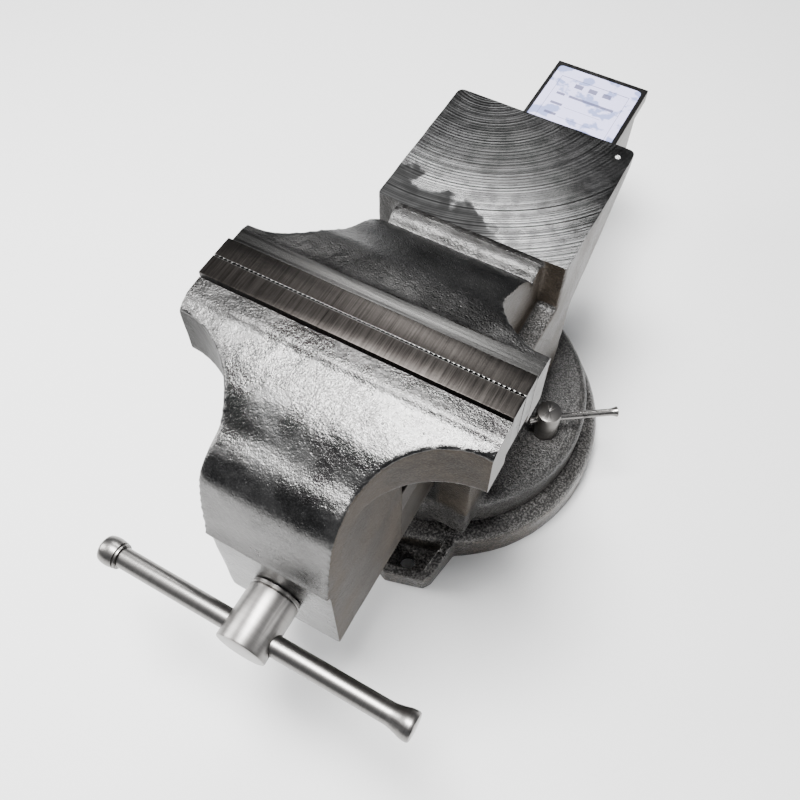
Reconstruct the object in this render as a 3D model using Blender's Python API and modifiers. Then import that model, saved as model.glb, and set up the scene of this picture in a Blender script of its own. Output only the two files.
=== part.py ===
"""Heavy cast iron bench vise on a swivel base, jaws closed.

Metres, +Z up. X runs along the jaws, +Y points to the slide's tail and -Y to the handle.
The origin is on the bench face, under the swivel axis and the middle of the closed vise.
"""

import math

import bmesh
import bpy
from mathutils import Matrix, Vector

# Overall sizes
JAW_WIDTH = 0.200
JAW_TOP = 0.302
CLOSED_LENGTH = 0.580
JAW_SETBACK = 0.130
TOUCH_GAP = 0.0003

# Jaw plates and their screws
PLATE_THICKNESS = 0.015
PLATE_HEIGHT = 0.040
PLATE_PROUD = 0.004
PLATE_SCREW_SPACING = 0.120
PLATE_SCREW_RADIUS = 0.004
PLATE_SCREW_HEAD_RADIUS = 0.008
PLATE_SCREW_BITE = 0.012
HEX_SOCKET_RADIUS = 0.0038
HEX_SOCKET_DEPTH = 0.0035
SCREW_HOLE_CLEARANCE = 0.0004

# Jaw castings
HEAD_HEIGHT = 0.050
MOVING_HEAD_DEPTH = 0.022
FIXED_HEAD_DEPTH = 0.019
MOVING_FLARE_RADIUS = 0.057
FIXED_FLARE_RADIUS = 0.043
MACHINED_BAND = 0.013
STEM_REACH = 0.117
RIDGE_PROUD = 0.0035
RIDGE_DROP = 0.100
JAW_RELIEF = 0.002

# Slide, a channel that opens downwards
SLIDE_WIDTH = 0.086
SLIDE_TOP = 0.180
SLIDE_BOTTOM = 0.106
SLIDE_SIDE_WALL = 0.015
SLIDE_TOP_WALL = 0.012
FRONT_WALL = 0.020
TAIL_LIP = 0.026
SLIDE_SIDE_FIT = 0.0005
SLIDE_TOP_FIT = 0.0010

# Fixed body
HOUSING_WIDTH = 0.146
HOUSING_SETBACK = 0.018
HOUSING_LEDGE = 0.197
HOUSING_REAR = 0.180
NECK_WIDTH = 0.114
ANVIL_SETBACK = 0.142
ANVIL_LENGTH = 0.129
ANVIL_TOP = 0.241
ANVIL_EDGE = 0.009
ANVIL_CORNER_CUT = 0.003
GUSSET_FOOT = 0.160
ROLL_RADIUS = 0.007
DISC_RADIUS = 0.119
DISC_TOP = 0.068
DISC_BOTTOM = 0.036
DISC_ROUNDING = 0.007
SPIGOT_FIT = 0.0005

# Base ring and lugs
BASE_RADIUS = 0.134
BASE_SHOULDER_RADIUS = 0.122
BASE_SHOULDER_DROP = 0.012
BASE_BORE_RADIUS = 0.102
BASE_RECESS_RADIUS = 0.116
BASE_FLANGE = 0.0137
LUG_ANGLE = math.radians(15.4)
LUG_COUNT = 2
LUG_REACH = 0.163
LUG_ROOT_WIDTH = 0.072
LUG_TIP_WIDTH = 0.032
LUG_ROOT_HEIGHT = 0.031
LUG_TIP_HEIGHT = 0.019
LUG_FLOOR = 0.012
LUG_RIB = 0.009
LUG_HOLE_DISTANCE = 0.147
LUG_HOLE_RADIUS = 0.0068

# Clamp ring and lock bolts
CLAMP_THICKNESS = 0.0135
CLAMP_INNER_RADIUS = 0.040
CLAMP_RIM_CLEARANCE = 0.002
LOCK_BOLT_SPREAD = 0.092
LOCK_BOLT_FORWARD = 0.006
LOCK_BOLT_RADIUS = 0.006
LOCK_HEAD_RADIUS = 0.010
LOCK_HEAD_HEIGHT = 0.0297
LOCK_BOLT_END = 0.004
LEVER_RADIUS = 0.003
LEVER_LENGTH = 0.073
LEVER_KNOB_RADIUS = 0.0044
LEVER_KNOB_LENGTH = 0.005
LEVER_DROP = 0.010
LEVER_ANGLE = math.radians(35.0)

# Lead screw, nut and handle
SCREW_AXIS = 0.150
SCREW_RADIUS = 0.013
SCREW_HEAD_RADIUS = 0.018
SCREW_END = 0.340
SCREW_BORE_FIT = 0.0004
WASHER_THICKNESS = 0.003
HANDLE_RADIUS = 0.0072
HANDLE_LENGTH = 0.234
HANDLE_FROM_HEAD_END = 0.013
HANDLE_HEAD_RADIUS = 0.010
HANDLE_HEAD_LENGTH = 0.015
HANDLE_BORE_FIT = 0.0005
HANDLE_SPIGOT_RADIUS = 0.0055
HANDLE_SPIGOT_LENGTH = 0.008
SPRING_WIRE_RADIUS = 0.0015
SPRING_LENGTH = 0.022
SPRING_TURNS = 4
COLLAR_RADIUS = 0.0168
COLLAR_LENGTH = 0.012
PIN_RADIUS = 0.002
PIN_LENGTH = 0.0346
NUT_START = 0.060
NUT_LENGTH = 0.070
NUT_SIDE_CLEARANCE = 0.006
NUT_BOLT_RADIUS = 0.007
NUT_BOLT_HEAD_RADIUS = 0.011
NUT_BOLT_HEAD_HEIGHT = 0.009
NUT_BOLT_BITE = 0.024

# Paper slip on the slide
LABEL_WIDTH = 0.078
LABEL_LENGTH = 0.105
LABEL_THICKNESS = 0.0003
LABEL_FROM_TAIL = 0.006
LABEL_CORNER = 0.004

# Places that follow from the sizes above
SEAM_Y = -JAW_SETBACK
FRONT_Y = SEAM_Y - STEM_REACH
TAIL_Y = CLOSED_LENGTH / 2
SCREW_HEAD_Y = -CLOSED_LENGTH / 2
HEAD_BOTTOM = JAW_TOP - HEAD_HEIGHT
PLATE_BOTTOM = JAW_TOP - PLATE_HEIGHT
PLATE_BACK = PLATE_THICKNESS + TOUCH_GAP
ANVIL_FRONT_Y = SEAM_Y + ANVIL_SETBACK
ANVIL_REAR_Y = ANVIL_FRONT_Y + ANVIL_LENGTH
TUNNEL_FLOOR = SLIDE_BOTTOM - SLIDE_SIDE_FIT
BASE_TOP = DISC_BOTTOM - TOUCH_GAP
BASE_FLANGE_BOTTOM = BASE_TOP - BASE_FLANGE
CLAMP_TOP = BASE_FLANGE_BOTTOM - TOUCH_GAP
LOCK_BOLT_Y = -LOCK_BOLT_FORWARD
LOCK_HEAD_BOTTOM = DISC_TOP + TOUCH_GAP
LOCK_HEAD_TOP = LOCK_HEAD_BOTTOM + LOCK_HEAD_HEIGHT
LEVER_Z = LOCK_HEAD_TOP - LEVER_DROP
HANDLE_Y = SCREW_HEAD_Y + HANDLE_FROM_HEAD_END
NUT_Y = SEAM_Y + NUT_START + NUT_LENGTH / 2
CHANNEL_WIDTH = SLIDE_WIDTH - 2 * SLIDE_SIDE_WALL
CHANNEL_TOP = SLIDE_TOP - SLIDE_TOP_WALL
SPRING_Y = FRONT_Y + FRONT_WALL + TOUCH_GAP
COLLAR_Y = SPRING_Y + SPRING_LENGTH + TOUCH_GAP
ROUND = 40
SMALL_ROUND = 20

CAST_IRON = ("cast_iron", (0.46, 0.45, 0.43), 0.45, 0.85)
BLACK_CASTING = ("black_casting", (0.06, 0.06, 0.06), 0.5, 0.5)
PLATE_STEEL = ("plate_steel", (0.33, 0.32, 0.31), 0.35, 1.0)
TURNED_STEEL = ("turned_steel", (0.55, 0.54, 0.53), 0.28, 1.0)
DARK_STEEL = ("dark_steel", (0.12, 0.12, 0.12), 0.45, 0.9)
BRONZE = ("nut_bronze", (0.55, 0.38, 0.18), 0.4, 1.0)
PAPER = ("label_paper", (0.78, 0.77, 0.86), 0.8, 0.0)


# ---------------------------------------------------------------- tools

def clear_scene():
    for obj in list(bpy.data.objects):
        bpy.data.objects.remove(obj, do_unlink=True)


def make_collection(name):
    collection = bpy.data.collections.new(name)
    bpy.context.scene.collection.children.link(collection)
    return collection


def finish_material(finish):
    name, colour, roughness, metallic = finish
    material = bpy.data.materials.get(name) or bpy.data.materials.new(name)
    material.use_nodes = True
    shader = material.node_tree.nodes["Principled BSDF"]
    shader.inputs["Base Color"].default_value = (*colour, 1.0)
    shader.inputs["Roughness"].default_value = roughness
    shader.inputs["Metallic"].default_value = metallic
    return material


def as_part(obj, name, finish, parent=None):
    """Name an object, give it its finish and put it in the vise's collection."""
    move_to(obj, PARTS)
    obj.name = name
    obj.data.materials.clear()
    obj.data.materials.append(finish_material(finish))
    obj.data.shade_smooth()
    obj.data.set_sharp_from_angle(angle=math.radians(30.0))
    if parent is not None:
        obj.parent = parent
        obj.matrix_parent_inverse = parent.matrix_world.inverted()
    return obj


def as_cutter(obj):
    """Keep a tool shape out of the model."""
    move_to(obj, CUTTERS)
    obj.hide_render = True
    obj.display_type = "WIRE"
    return obj


def move_to(obj, collection):
    for old in list(obj.users_collection):
        old.objects.unlink(obj)
    collection.objects.link(obj)


def mesh_object(name, mesh):
    obj = bpy.data.objects.new(name, mesh)
    bpy.context.scene.collection.objects.link(obj)
    return obj


def combine(target, operation, tool):
    """Join, cut or intersect the target with a tool shape."""
    modifier = target.modifiers.new(operation.title(), "BOOLEAN")
    modifier.operation = operation
    modifier.solver = "EXACT"
    modifier.object = as_cutter(tool)
    return target


def settle(obj):
    """Turn an object's modifiers into its own mesh."""
    bpy.context.view_layer.update()
    evaluated = obj.evaluated_get(bpy.context.evaluated_depsgraph_get())
    mesh = bpy.data.meshes.new_from_object(evaluated)
    obj.modifiers.clear()
    obj.data = mesh
    return obj


def weld(mesh, distance=0.00001):
    shape = bmesh.new()
    shape.from_mesh(mesh)
    bmesh.ops.remove_doubles(shape, verts=shape.verts, dist=distance)
    shape.to_mesh(mesh)
    shape.free()


def curve_to_mesh(curve_object, name):
    """Replace a curve object by its mesh, with the caps welded on."""
    bpy.context.view_layer.update()
    evaluated = curve_object.evaluated_get(bpy.context.evaluated_depsgraph_get())
    mesh = bpy.data.meshes.new_from_object(evaluated)
    weld(mesh)
    mesh.transform(curve_object.matrix_world)
    bpy.data.objects.remove(curve_object, do_unlink=True)
    return mesh_object(name, mesh)


PLANES = {
    "XY": Matrix.Identity(4),
    "YZ": Matrix(((0, 0, 1, 0), (1, 0, 0, 0), (0, 1, 0, 0), (0, 0, 0, 1))),
    "XZ": Matrix(((1, 0, 0, 0), (0, 0, -1, 0), (0, 1, 0, 0), (0, 0, 0, 1))),
}


def outline_prism(name, plane, outline, low, high):
    """Extrude a flat outline from low to high along the axis that its plane leaves out."""
    curve = bpy.data.curves.new(name, "CURVE")
    curve.dimensions = "2D"
    curve.fill_mode = "BOTH"
    curve.extrude = (high - low) / 2
    spline = curve.splines.new("POLY")
    spline.points.add(len(outline) - 1)
    for point, (a, b) in zip(spline.points, outline):
        point.co = (a, b, 0.0, 1.0)
    spline.use_cyclic_u = True
    obj = bpy.data.objects.new(name, curve)
    bpy.context.scene.collection.objects.link(obj)
    middle = (low + high) / 2
    shift = -middle if plane == "XZ" else middle
    obj.matrix_world = PLANES[plane] @ Matrix.Translation((0.0, 0.0, shift))
    return curve_to_mesh(obj, name)


def box(name, low, high):
    low, high = Vector(low), Vector(high)
    bpy.ops.mesh.primitive_cube_add(size=1.0, location=(0.0, 0.0, 0.0))
    obj = bpy.context.object
    obj.name = name
    size = high - low
    obj.data.transform(Matrix.Translation((low + high) / 2) @ Matrix.Diagonal((*size, 1.0)))
    return obj


AXIS_TURN = {
    "X": Matrix.Rotation(math.radians(90.0), 4, "Y"),
    "Y": Matrix.Rotation(math.radians(-90.0), 4, "X"),
    "-Y": Matrix.Rotation(math.radians(90.0), 4, "X"),
    "Z": Matrix.Identity(4),
}


def cylinder(name, axis, radius, centre, length, sides=ROUND):
    bpy.ops.mesh.primitive_cylinder_add(vertices=sides, radius=radius, depth=length)
    obj = bpy.context.object
    obj.name = name
    obj.data.transform(Matrix.Translation(centre) @ AXIS_TURN[axis])
    return obj


def turned(name, profile, sides=ROUND, closed=False):
    """Revolve (radius, height) points about Z; they run down the outer side."""
    mesh = bpy.data.meshes.new(name)
    edges = [(i, i + 1) for i in range(len(profile) - 1)]
    if closed:
        edges.append((len(profile) - 1, 0))
    mesh.from_pydata([(radius, 0.0, height) for radius, height in profile], edges, [])
    obj = mesh_object(name, mesh)
    screw = obj.modifiers.new("Turn", "SCREW")
    screw.axis = "Z"
    screw.steps = sides
    screw.render_steps = sides
    screw.use_merge_vertices = True
    screw.merge_threshold = 0.00001
    screw.use_smooth_shade = True
    return settle(obj)


def laid_along(obj, axis, origin):
    """Lay a shape turned about Z along an axis, with its height 0 at an origin."""
    obj.matrix_world = Matrix.Translation(origin) @ AXIS_TURN[axis]
    return obj


def joint_frame(name, origin):
    empty = bpy.data.objects.new(name, None)
    PARTS.objects.link(empty)
    empty.location = origin
    bpy.context.view_layer.update()
    return empty


def arc(centre, radius, start, end, steps):
    """Points on an arc, angles in degrees."""
    points = []
    for step in range(steps + 1):
        angle = math.radians(start + (end - start) * step / steps)
        points.append((centre[0] + radius * math.cos(angle), centre[1] + radius * math.sin(angle)))
    return points


def smooth_line(points, steps):
    """A smooth line through the given points, as short straight runs."""
    padded = [points[0], *points, points[-1]]
    line = []
    for index in range(len(points) - 1):
        p0, p1, p2, p3 = (Vector(p) for p in padded[index:index + 4])
        for step in range(steps):
            t = step / steps
            spot = 0.5 * (2 * p1 + (p2 - p0) * t + (2 * p0 - 5 * p1 + 4 * p2 - p3) * t * t
                          + (3 * p1 - p0 - 3 * p2 + p3) * t ** 3)
            line.append(tuple(spot))
    line.append(tuple(points[-1]))
    return line


# ---------------------------------------------------------------- jaw castings

def tee_plan(direction, head_depth, flare_radius, end_y):
    """Plan of a T-shaped jaw: a wide head whose ends sweep in to the stem by quarter circles."""
    half = JAW_WIDTH / 2
    head_y = SEAM_Y + direction * (PLATE_BACK + head_depth)
    centre_y = head_y + direction * flare_radius
    sweep = [(x, centre_y + direction * (y - centre_y))
             for x, y in arc((half, centre_y), flare_radius, 270, 180, 8)]
    right = [(half, SEAM_Y - direction * 0.01), *sweep, (half - flare_radius, end_y)]
    left = [(-x, y) for x, y in reversed(right)]
    return right + left


def from_seam(direction, points):
    """Turn (distance from the seam, drop below the jaw top) into (y, z)."""
    return [(SEAM_Y + direction * reach, JAW_TOP - drop) for reach, drop in points]


def moving_profile():
    """Side outline of the moving jaw: plate seat, rounded front, ridge, box and tail."""
    band_end = PLATE_BACK + MACHINED_BAND
    reach = STEM_REACH
    dome = smooth_line([(band_end, PLATE_PROUD + 0.002), (0.046, 0.0100), (0.061, 0.0155),
                        (0.081, 0.0270), (0.0985, 0.0360), (0.1075, 0.0450),
                        (0.1120, 0.0590), (reach + RIDGE_PROUD / 2, 0.0940)], 2)
    top = [(JAW_RELIEF, PLATE_HEIGHT + TOUCH_GAP), (PLATE_BACK, PLATE_HEIGHT + TOUCH_GAP),
           (PLATE_BACK, PLATE_PROUD)]
    ridge = [(reach + RIDGE_PROUD, RIDGE_DROP), (reach, RIDGE_DROP + 0.003)]
    front = from_seam(-1, top + dome + ridge)
    legs_end = TAIL_Y - TAIL_LIP
    tail = [(FRONT_Y, SLIDE_BOTTOM), (legs_end, SLIDE_BOTTOM), (legs_end, CHANNEL_TOP),
            (TAIL_Y, CHANNEL_TOP), (TAIL_Y, SLIDE_TOP), (SEAM_Y - JAW_RELIEF, SLIDE_TOP)]
    return front + tail


def moving_jaw_body():
    half = JAW_WIDTH / 2
    flare = outline_prism("moving_head_plan", "XY",
                          tee_plan(-1, MOVING_HEAD_DEPTH, MOVING_FLARE_RADIUS, FRONT_Y - 0.01),
                          HEAD_BOTTOM, JAW_TOP + 0.01)
    strip = box("moving_stem_plan", (-SLIDE_WIDTH / 2, FRONT_Y - 0.02, 0.0),
                (SLIDE_WIDTH / 2, TAIL_Y + 0.01, JAW_TOP + 0.005))
    combine(flare, "UNION", strip)
    settle(flare)
    body = outline_prism("moving_jaw_body", "YZ", moving_profile(), -half - 0.01, half + 0.01)
    combine(body, "INTERSECT", flare)
    channel = box("slide_channel", (-CHANNEL_WIDTH / 2, FRONT_Y + FRONT_WALL, 0.0),
                  (CHANNEL_WIDTH / 2, TAIL_Y + 0.01, CHANNEL_TOP))
    combine(body, "DIFFERENCE", channel)
    bore = cylinder("screw_bore", "Y", SCREW_RADIUS + SCREW_BORE_FIT,
                    (0.0, FRONT_Y, SCREW_AXIS), FRONT_WALL * 3)
    combine(body, "DIFFERENCE", bore)
    cut_plate_screw_holes(body, -1)
    return as_part(settle(body), "moving_jaw_body", CAST_IRON, JAW_FRAME)


def cut_plate_screw_holes(body, direction):
    depth = PLATE_BACK + PLATE_SCREW_BITE + 0.001
    for side in (-1, 1):
        centre = (side * PLATE_SCREW_SPACING / 2, SEAM_Y + direction * depth / 2,
                  JAW_TOP - PLATE_HEIGHT / 2)
        hole = cylinder("plate_screw_hole", "Y", PLATE_SCREW_RADIUS + SCREW_HOLE_CLEARANCE,
                        centre, depth, SMALL_ROUND)
        combine(body, "DIFFERENCE", hole)


def neck_profile():
    """Side outline of the fixed jaw's head and neck, with the saddle and the roll by the anvil."""
    band_end = PLATE_BACK + MACHINED_BAND
    roll_centre = ANVIL_SETBACK - ROLL_RADIUS + 0.001
    roll_drop = JAW_TOP - ANVIL_TOP + 0.018
    saddle = smooth_line([(band_end, PLATE_PROUD + 0.001), (0.045, 0.008), (0.057, 0.0125),
                          (0.082, 0.0290), (0.105, 0.0430), (roll_centre - 0.009, 0.0740)], 2)
    roll = [(roll_centre + ROLL_RADIUS * math.cos(a), roll_drop - ROLL_RADIUS * math.sin(a))
            for a in (math.radians(d) for d in (165, 130, 95, 60, 25))]
    seat = [(JAW_RELIEF, PLATE_HEIGHT + TOUCH_GAP), (PLATE_BACK, PLATE_HEIGHT + TOUCH_GAP),
            (PLATE_BACK, PLATE_PROUD)]
    inside = [(ANVIL_SETBACK + 0.02, roll_drop)]
    foot = JAW_TOP - HOUSING_LEDGE + 0.008
    below = [(ANVIL_SETBACK + 0.02, foot), (HOUSING_SETBACK, foot), (HOUSING_SETBACK, HEAD_HEIGHT),
             (JAW_RELIEF, HEAD_HEIGHT)]
    return from_seam(1, seat + saddle + roll + inside + below)


def housing_profile():
    """Side outline of the slide housing with the anvil and its rear gusset."""
    front = SEAM_Y + HOUSING_SETBACK
    gusset_y = SEAM_Y + HOUSING_REAR
    return [(front, DISC_BOTTOM), (gusset_y, DISC_BOTTOM), (gusset_y + 0.006, GUSSET_FOOT),
            (ANVIL_REAR_Y, ANVIL_TOP - ANVIL_EDGE), (ANVIL_REAR_Y, ANVIL_TOP),
            (ANVIL_FRONT_Y, ANVIL_TOP), (ANVIL_FRONT_Y, HOUSING_LEDGE), (front, HOUSING_LEDGE)]


def housing_plan():
    half = HOUSING_WIDTH / 2
    front = SEAM_Y + HOUSING_SETBACK - 0.01
    cut = ANVIL_CORNER_CUT
    return [(-half, front), (half, front), (half, ANVIL_REAR_Y - cut),
            (half - cut, ANVIL_REAR_Y), (-half + cut, ANVIL_REAR_Y), (-half, ANVIL_REAR_Y - cut)]


def swivel_disc():
    """Disc with a rounded rim and a spigot that turns in the base's bore."""
    spigot = BASE_BORE_RADIUS - SPIGOT_FIT
    rim = arc((DISC_RADIUS - DISC_ROUNDING, DISC_TOP - DISC_ROUNDING), DISC_ROUNDING, 90, 0, 4)
    profile = [(0.0, DISC_TOP), *rim, (DISC_RADIUS, DISC_BOTTOM), (spigot, DISC_BOTTOM),
               (spigot, BASE_FLANGE_BOTTOM + TOUCH_GAP), (0.0, BASE_FLANGE_BOTTOM + TOUCH_GAP)]
    return turned("swivel_disc", profile, 56)


def fixed_jaw_body():
    half = JAW_WIDTH / 2
    neck_end = ANVIL_FRONT_Y + 0.03
    plan = outline_prism("fixed_head_plan", "XY",
                         tee_plan(1, FIXED_HEAD_DEPTH, FIXED_FLARE_RADIUS, neck_end),
                         HEAD_BOTTOM, JAW_TOP + 0.01)
    strip = box("fixed_neck_plan", (-NECK_WIDTH / 2, SEAM_Y - 0.01, 0.0),
                (NECK_WIDTH / 2, neck_end - 0.005, JAW_TOP + 0.005))
    combine(plan, "UNION", strip)
    settle(plan)
    neck = outline_prism("fixed_neck", "YZ", neck_profile(), -half - 0.01, half + 0.01)
    combine(neck, "INTERSECT", plan)
    settle(neck)
    body = outline_prism("fixed_jaw_body", "YZ", housing_profile(),
                         -HOUSING_WIDTH / 2 - 0.01, HOUSING_WIDTH / 2 + 0.01)
    limits = outline_prism("housing_plan", "XY", housing_plan(), 0.0, JAW_TOP)
    combine(body, "INTERSECT", limits)
    combine(body, "UNION", neck)
    combine(body, "UNION", swivel_disc())
    tunnel_half = SLIDE_WIDTH / 2 + SLIDE_SIDE_FIT
    tunnel = box("slide_tunnel", (-tunnel_half, SEAM_Y - 0.02, TUNNEL_FLOOR),
                 (tunnel_half, ANVIL_REAR_Y + 0.02, SLIDE_TOP + SLIDE_TOP_FIT))
    combine(body, "DIFFERENCE", tunnel)
    for side in (-1, 1):
        hole = cylinder("lock_bolt_hole", "Z", LOCK_BOLT_RADIUS + SCREW_HOLE_CLEARANCE,
                        (side * LOCK_BOLT_SPREAD, LOCK_BOLT_Y, DISC_BOTTOM), 0.1, SMALL_ROUND)
        combine(body, "DIFFERENCE", hole)
    cut_nut_bolt_hole(body)
    cut_plate_screw_holes(body, 1)
    return as_part(settle(body), "fixed_jaw_body", CAST_IRON, SWIVEL_FRAME)


def cut_nut_bolt_hole(body):
    disc_underside = BASE_FLANGE_BOTTOM + TOUCH_GAP
    shank = cylinder("nut_bolt_hole", "Z", NUT_BOLT_RADIUS + SCREW_HOLE_CLEARANCE,
                     (0.0, NUT_Y, TUNNEL_FLOOR / 2), TUNNEL_FLOOR + 0.01, SMALL_ROUND)
    sink = NUT_BOLT_HEAD_HEIGHT + 0.002
    head = cylinder("nut_bolt_sink", "Z", NUT_BOLT_HEAD_RADIUS + 0.001,
                    (0.0, NUT_Y, disc_underside), 2 * sink, SMALL_ROUND)
    combine(body, "DIFFERENCE", shank)
    combine(body, "DIFFERENCE", head)


# ---------------------------------------------------------------- jaw plates and screws

def jaw_plate(name, direction, parent):
    near = SEAM_Y + direction * TOUCH_GAP / 2
    far = SEAM_Y + direction * PLATE_THICKNESS
    plate = box(name, (-JAW_WIDTH / 2, min(near, far), PLATE_BOTTOM),
                (JAW_WIDTH / 2, max(near, far), JAW_TOP))
    settle(plate)
    for side in (-1, 1):
        cutter = turned("plate_screw_sink", screw_profile(SCREW_HOLE_CLEARANCE), SMALL_ROUND)
        laid_along(cutter, jaw_axis(direction), plate_screw_origin(side, direction))
        combine(plate, "DIFFERENCE", cutter)
    return as_part(settle(plate), name, PLATE_STEEL, parent)


def jaw_axis(direction):
    """Axis that points out of a jaw, through its gripping face."""
    return "-Y" if direction > 0 else "Y"


def plate_screw_origin(side, direction):
    return (side * PLATE_SCREW_SPACING / 2, SEAM_Y + direction * TOUCH_GAP / 2,
            JAW_TOP - PLATE_HEIGHT / 2)


def screw_profile(clearance):
    """Countersunk screw, its head's face just below the plate's face at height 0."""
    face = -0.0006 if clearance == 0 else 0.001
    head = PLATE_SCREW_HEAD_RADIUS + clearance
    shank = PLATE_SCREW_RADIUS + clearance
    length = PLATE_THICKNESS + PLATE_SCREW_BITE
    end = -length if clearance == 0 else -length - 0.01
    return [(0.0, face), (head, face), (head, -0.0016),
            (shank, -0.0016 - (head - shank)), (shank, end), (0.0, end)]


def plate_screw(name, side, direction, parent):
    screw = turned(name, screw_profile(0), SMALL_ROUND)
    laid_along(screw, jaw_axis(direction), plate_screw_origin(side, direction))
    bpy.ops.mesh.primitive_cylinder_add(vertices=6, radius=HEX_SOCKET_RADIUS,
                                        depth=2 * HEX_SOCKET_DEPTH)
    socket = bpy.context.object
    socket.matrix_world = screw.matrix_world
    combine(screw, "DIFFERENCE", socket)
    return as_part(settle(screw), name, DARK_STEEL, parent)


# ---------------------------------------------------------------- base

def lug_outline():
    """Plan of a lug, pointing along +X from the swivel axis."""
    root, tip = LUG_ROOT_WIDTH / 2, LUG_TIP_WIDTH / 2
    start = BASE_RECESS_RADIUS + 0.002
    knee = LUG_REACH - 0.005
    right = [(start, -root), (BASE_RADIUS - 0.007, -root), (knee, -tip - 0.006), (LUG_REACH, -tip)]
    return right + [(u, -v) for u, v in reversed(right)]


def pocket_outline():
    root, tip = LUG_ROOT_WIDTH / 2 - LUG_RIB, LUG_TIP_WIDTH / 2 - 0.002
    start, end = BASE_RADIUS - 0.004, LUG_REACH - LUG_RIB + 0.002
    return [(start, -root), (end, -tip), (end, tip), (start, root)]


def swivel_base():
    """Ring with a bore and an undercut for the clamp ring, and ribbed lugs."""
    shoulder = arc((BASE_SHOULDER_RADIUS, BASE_TOP - BASE_SHOULDER_DROP), 1.0, 90, 0, 4)
    width = BASE_RADIUS - BASE_SHOULDER_RADIUS
    shoulder = [(BASE_SHOULDER_RADIUS + (r - BASE_SHOULDER_RADIUS) * width,
                 BASE_TOP - BASE_SHOULDER_DROP + (z - BASE_TOP + BASE_SHOULDER_DROP)
                 * BASE_SHOULDER_DROP) for r, z in shoulder]
    profile = [(BASE_BORE_RADIUS, BASE_TOP), *shoulder, (BASE_RADIUS, 0.0),
               (BASE_RECESS_RADIUS, 0.0), (BASE_RECESS_RADIUS, BASE_FLANGE_BOTTOM),
               (BASE_BORE_RADIUS, BASE_FLANGE_BOTTOM)]
    base = turned("swivel_base", profile, 56, closed=True)
    for index in range(LUG_COUNT):
        angle = LUG_ANGLE - math.pi / 2 + index * math.tau / LUG_COUNT
        turn = Matrix.Rotation(angle, 4, "Z")
        for operation, shape in lug_shapes():
            shape.data.transform(turn)
            combine(base, operation, shape)
    return as_part(settle(base), "swivel_base", BLACK_CASTING)


def lug_shapes():
    lug = outline_prism("lug", "XY", lug_outline(), 0.0, LUG_ROOT_HEIGHT)
    slope = outline_prism("lug_slope", "XZ",
                          [(0.10, LUG_ROOT_HEIGHT), (BASE_RADIUS, LUG_ROOT_HEIGHT),
                           (LUG_REACH + 0.001, LUG_TIP_HEIGHT), (LUG_REACH + 0.001, -0.001),
                           (0.10, -0.001)], -0.06, 0.06)
    combine(lug, "INTERSECT", slope)
    settle(lug)
    pocket = outline_prism("lug_pocket", "XY", pocket_outline(), LUG_FLOOR, 0.06)
    hole = cylinder("lug_hole", "Z", LUG_HOLE_RADIUS, (LUG_HOLE_DISTANCE, 0.0, 0.0), 0.06,
                    SMALL_ROUND)
    return [("UNION", lug), ("DIFFERENCE", pocket), ("DIFFERENCE", hole)]


def clamp_disc():
    """Ring under the base's flange, drawn up by the two lock bolts."""
    outer = BASE_RECESS_RADIUS - CLAMP_RIM_CLEARANCE
    bottom = CLAMP_TOP - CLAMP_THICKNESS
    profile = [(CLAMP_INNER_RADIUS, CLAMP_TOP), (outer, CLAMP_TOP), (outer, bottom),
               (CLAMP_INNER_RADIUS, bottom)]
    ring = turned("clamp_disc", profile, 48, closed=True)
    for side in (-1, 1):
        hole = cylinder("clamp_hole", "Z", LOCK_BOLT_RADIUS + SCREW_HOLE_CLEARANCE,
                        (side * LOCK_BOLT_SPREAD, LOCK_BOLT_Y, CLAMP_TOP), 0.05, SMALL_ROUND)
        combine(ring, "DIFFERENCE", hole)
    return as_part(settle(ring), "clamp_disc", BLACK_CASTING, SWIVEL_FRAME)


# ---------------------------------------------------------------- lock bolts

def lever_direction(side):
    return Vector((side * math.cos(LEVER_ANGLE), math.sin(LEVER_ANGLE), 0.0))


def lock_bolt(name, side, frame):
    edge = 0.0008
    profile = [(0.0, LOCK_HEAD_TOP), (LOCK_HEAD_RADIUS - edge, LOCK_HEAD_TOP),
               (LOCK_HEAD_RADIUS, LOCK_HEAD_TOP - edge), (LOCK_HEAD_RADIUS, LOCK_HEAD_BOTTOM),
               (LOCK_BOLT_RADIUS, LOCK_HEAD_BOTTOM), (LOCK_BOLT_RADIUS, LOCK_BOLT_END),
               (0.0, LOCK_BOLT_END)]
    bolt = turned(name, profile, 32)
    hole = cylinder("lever_hole", "X", LEVER_RADIUS + SCREW_HOLE_CLEARANCE, (0.0, 0.0, 0.0),
                    4 * LOCK_HEAD_RADIUS, SMALL_ROUND)
    turn = lever_direction(side).to_track_quat("X", "Z").to_matrix().to_4x4()
    hole.data.transform(Matrix.Translation((0.0, 0.0, LEVER_Z)) @ turn)
    combine(bolt, "DIFFERENCE", hole)
    settle(bolt)
    bolt.location = (side * LOCK_BOLT_SPREAD, LOCK_BOLT_Y, 0.0)
    bpy.context.view_layer.update()
    return as_part(bolt, name, TURNED_STEEL, frame)


def lock_lever(name, side, frame):
    """Cross bar with flared ends, pushed out to its inner flare."""
    inner = -LOCK_HEAD_RADIUS - LEVER_KNOB_LENGTH - 0.0008
    outer = inner + LEVER_LENGTH
    profile = [(0.0, outer), (LEVER_KNOB_RADIUS, outer), (LEVER_RADIUS, outer - LEVER_KNOB_LENGTH),
               (LEVER_RADIUS, inner + LEVER_KNOB_LENGTH), (LEVER_KNOB_RADIUS, inner), (0.0, inner)]
    lever = turned(name, profile, SMALL_ROUND)
    turn = lever_direction(side).to_track_quat("Z", "Y").to_matrix().to_4x4()
    place = Matrix.Translation((side * LOCK_BOLT_SPREAD, LOCK_BOLT_Y, LEVER_Z))
    lever.matrix_world = place @ turn
    return as_part(lever, name, TURNED_STEEL, frame)


# ---------------------------------------------------------------- screw, nut and handle

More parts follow.
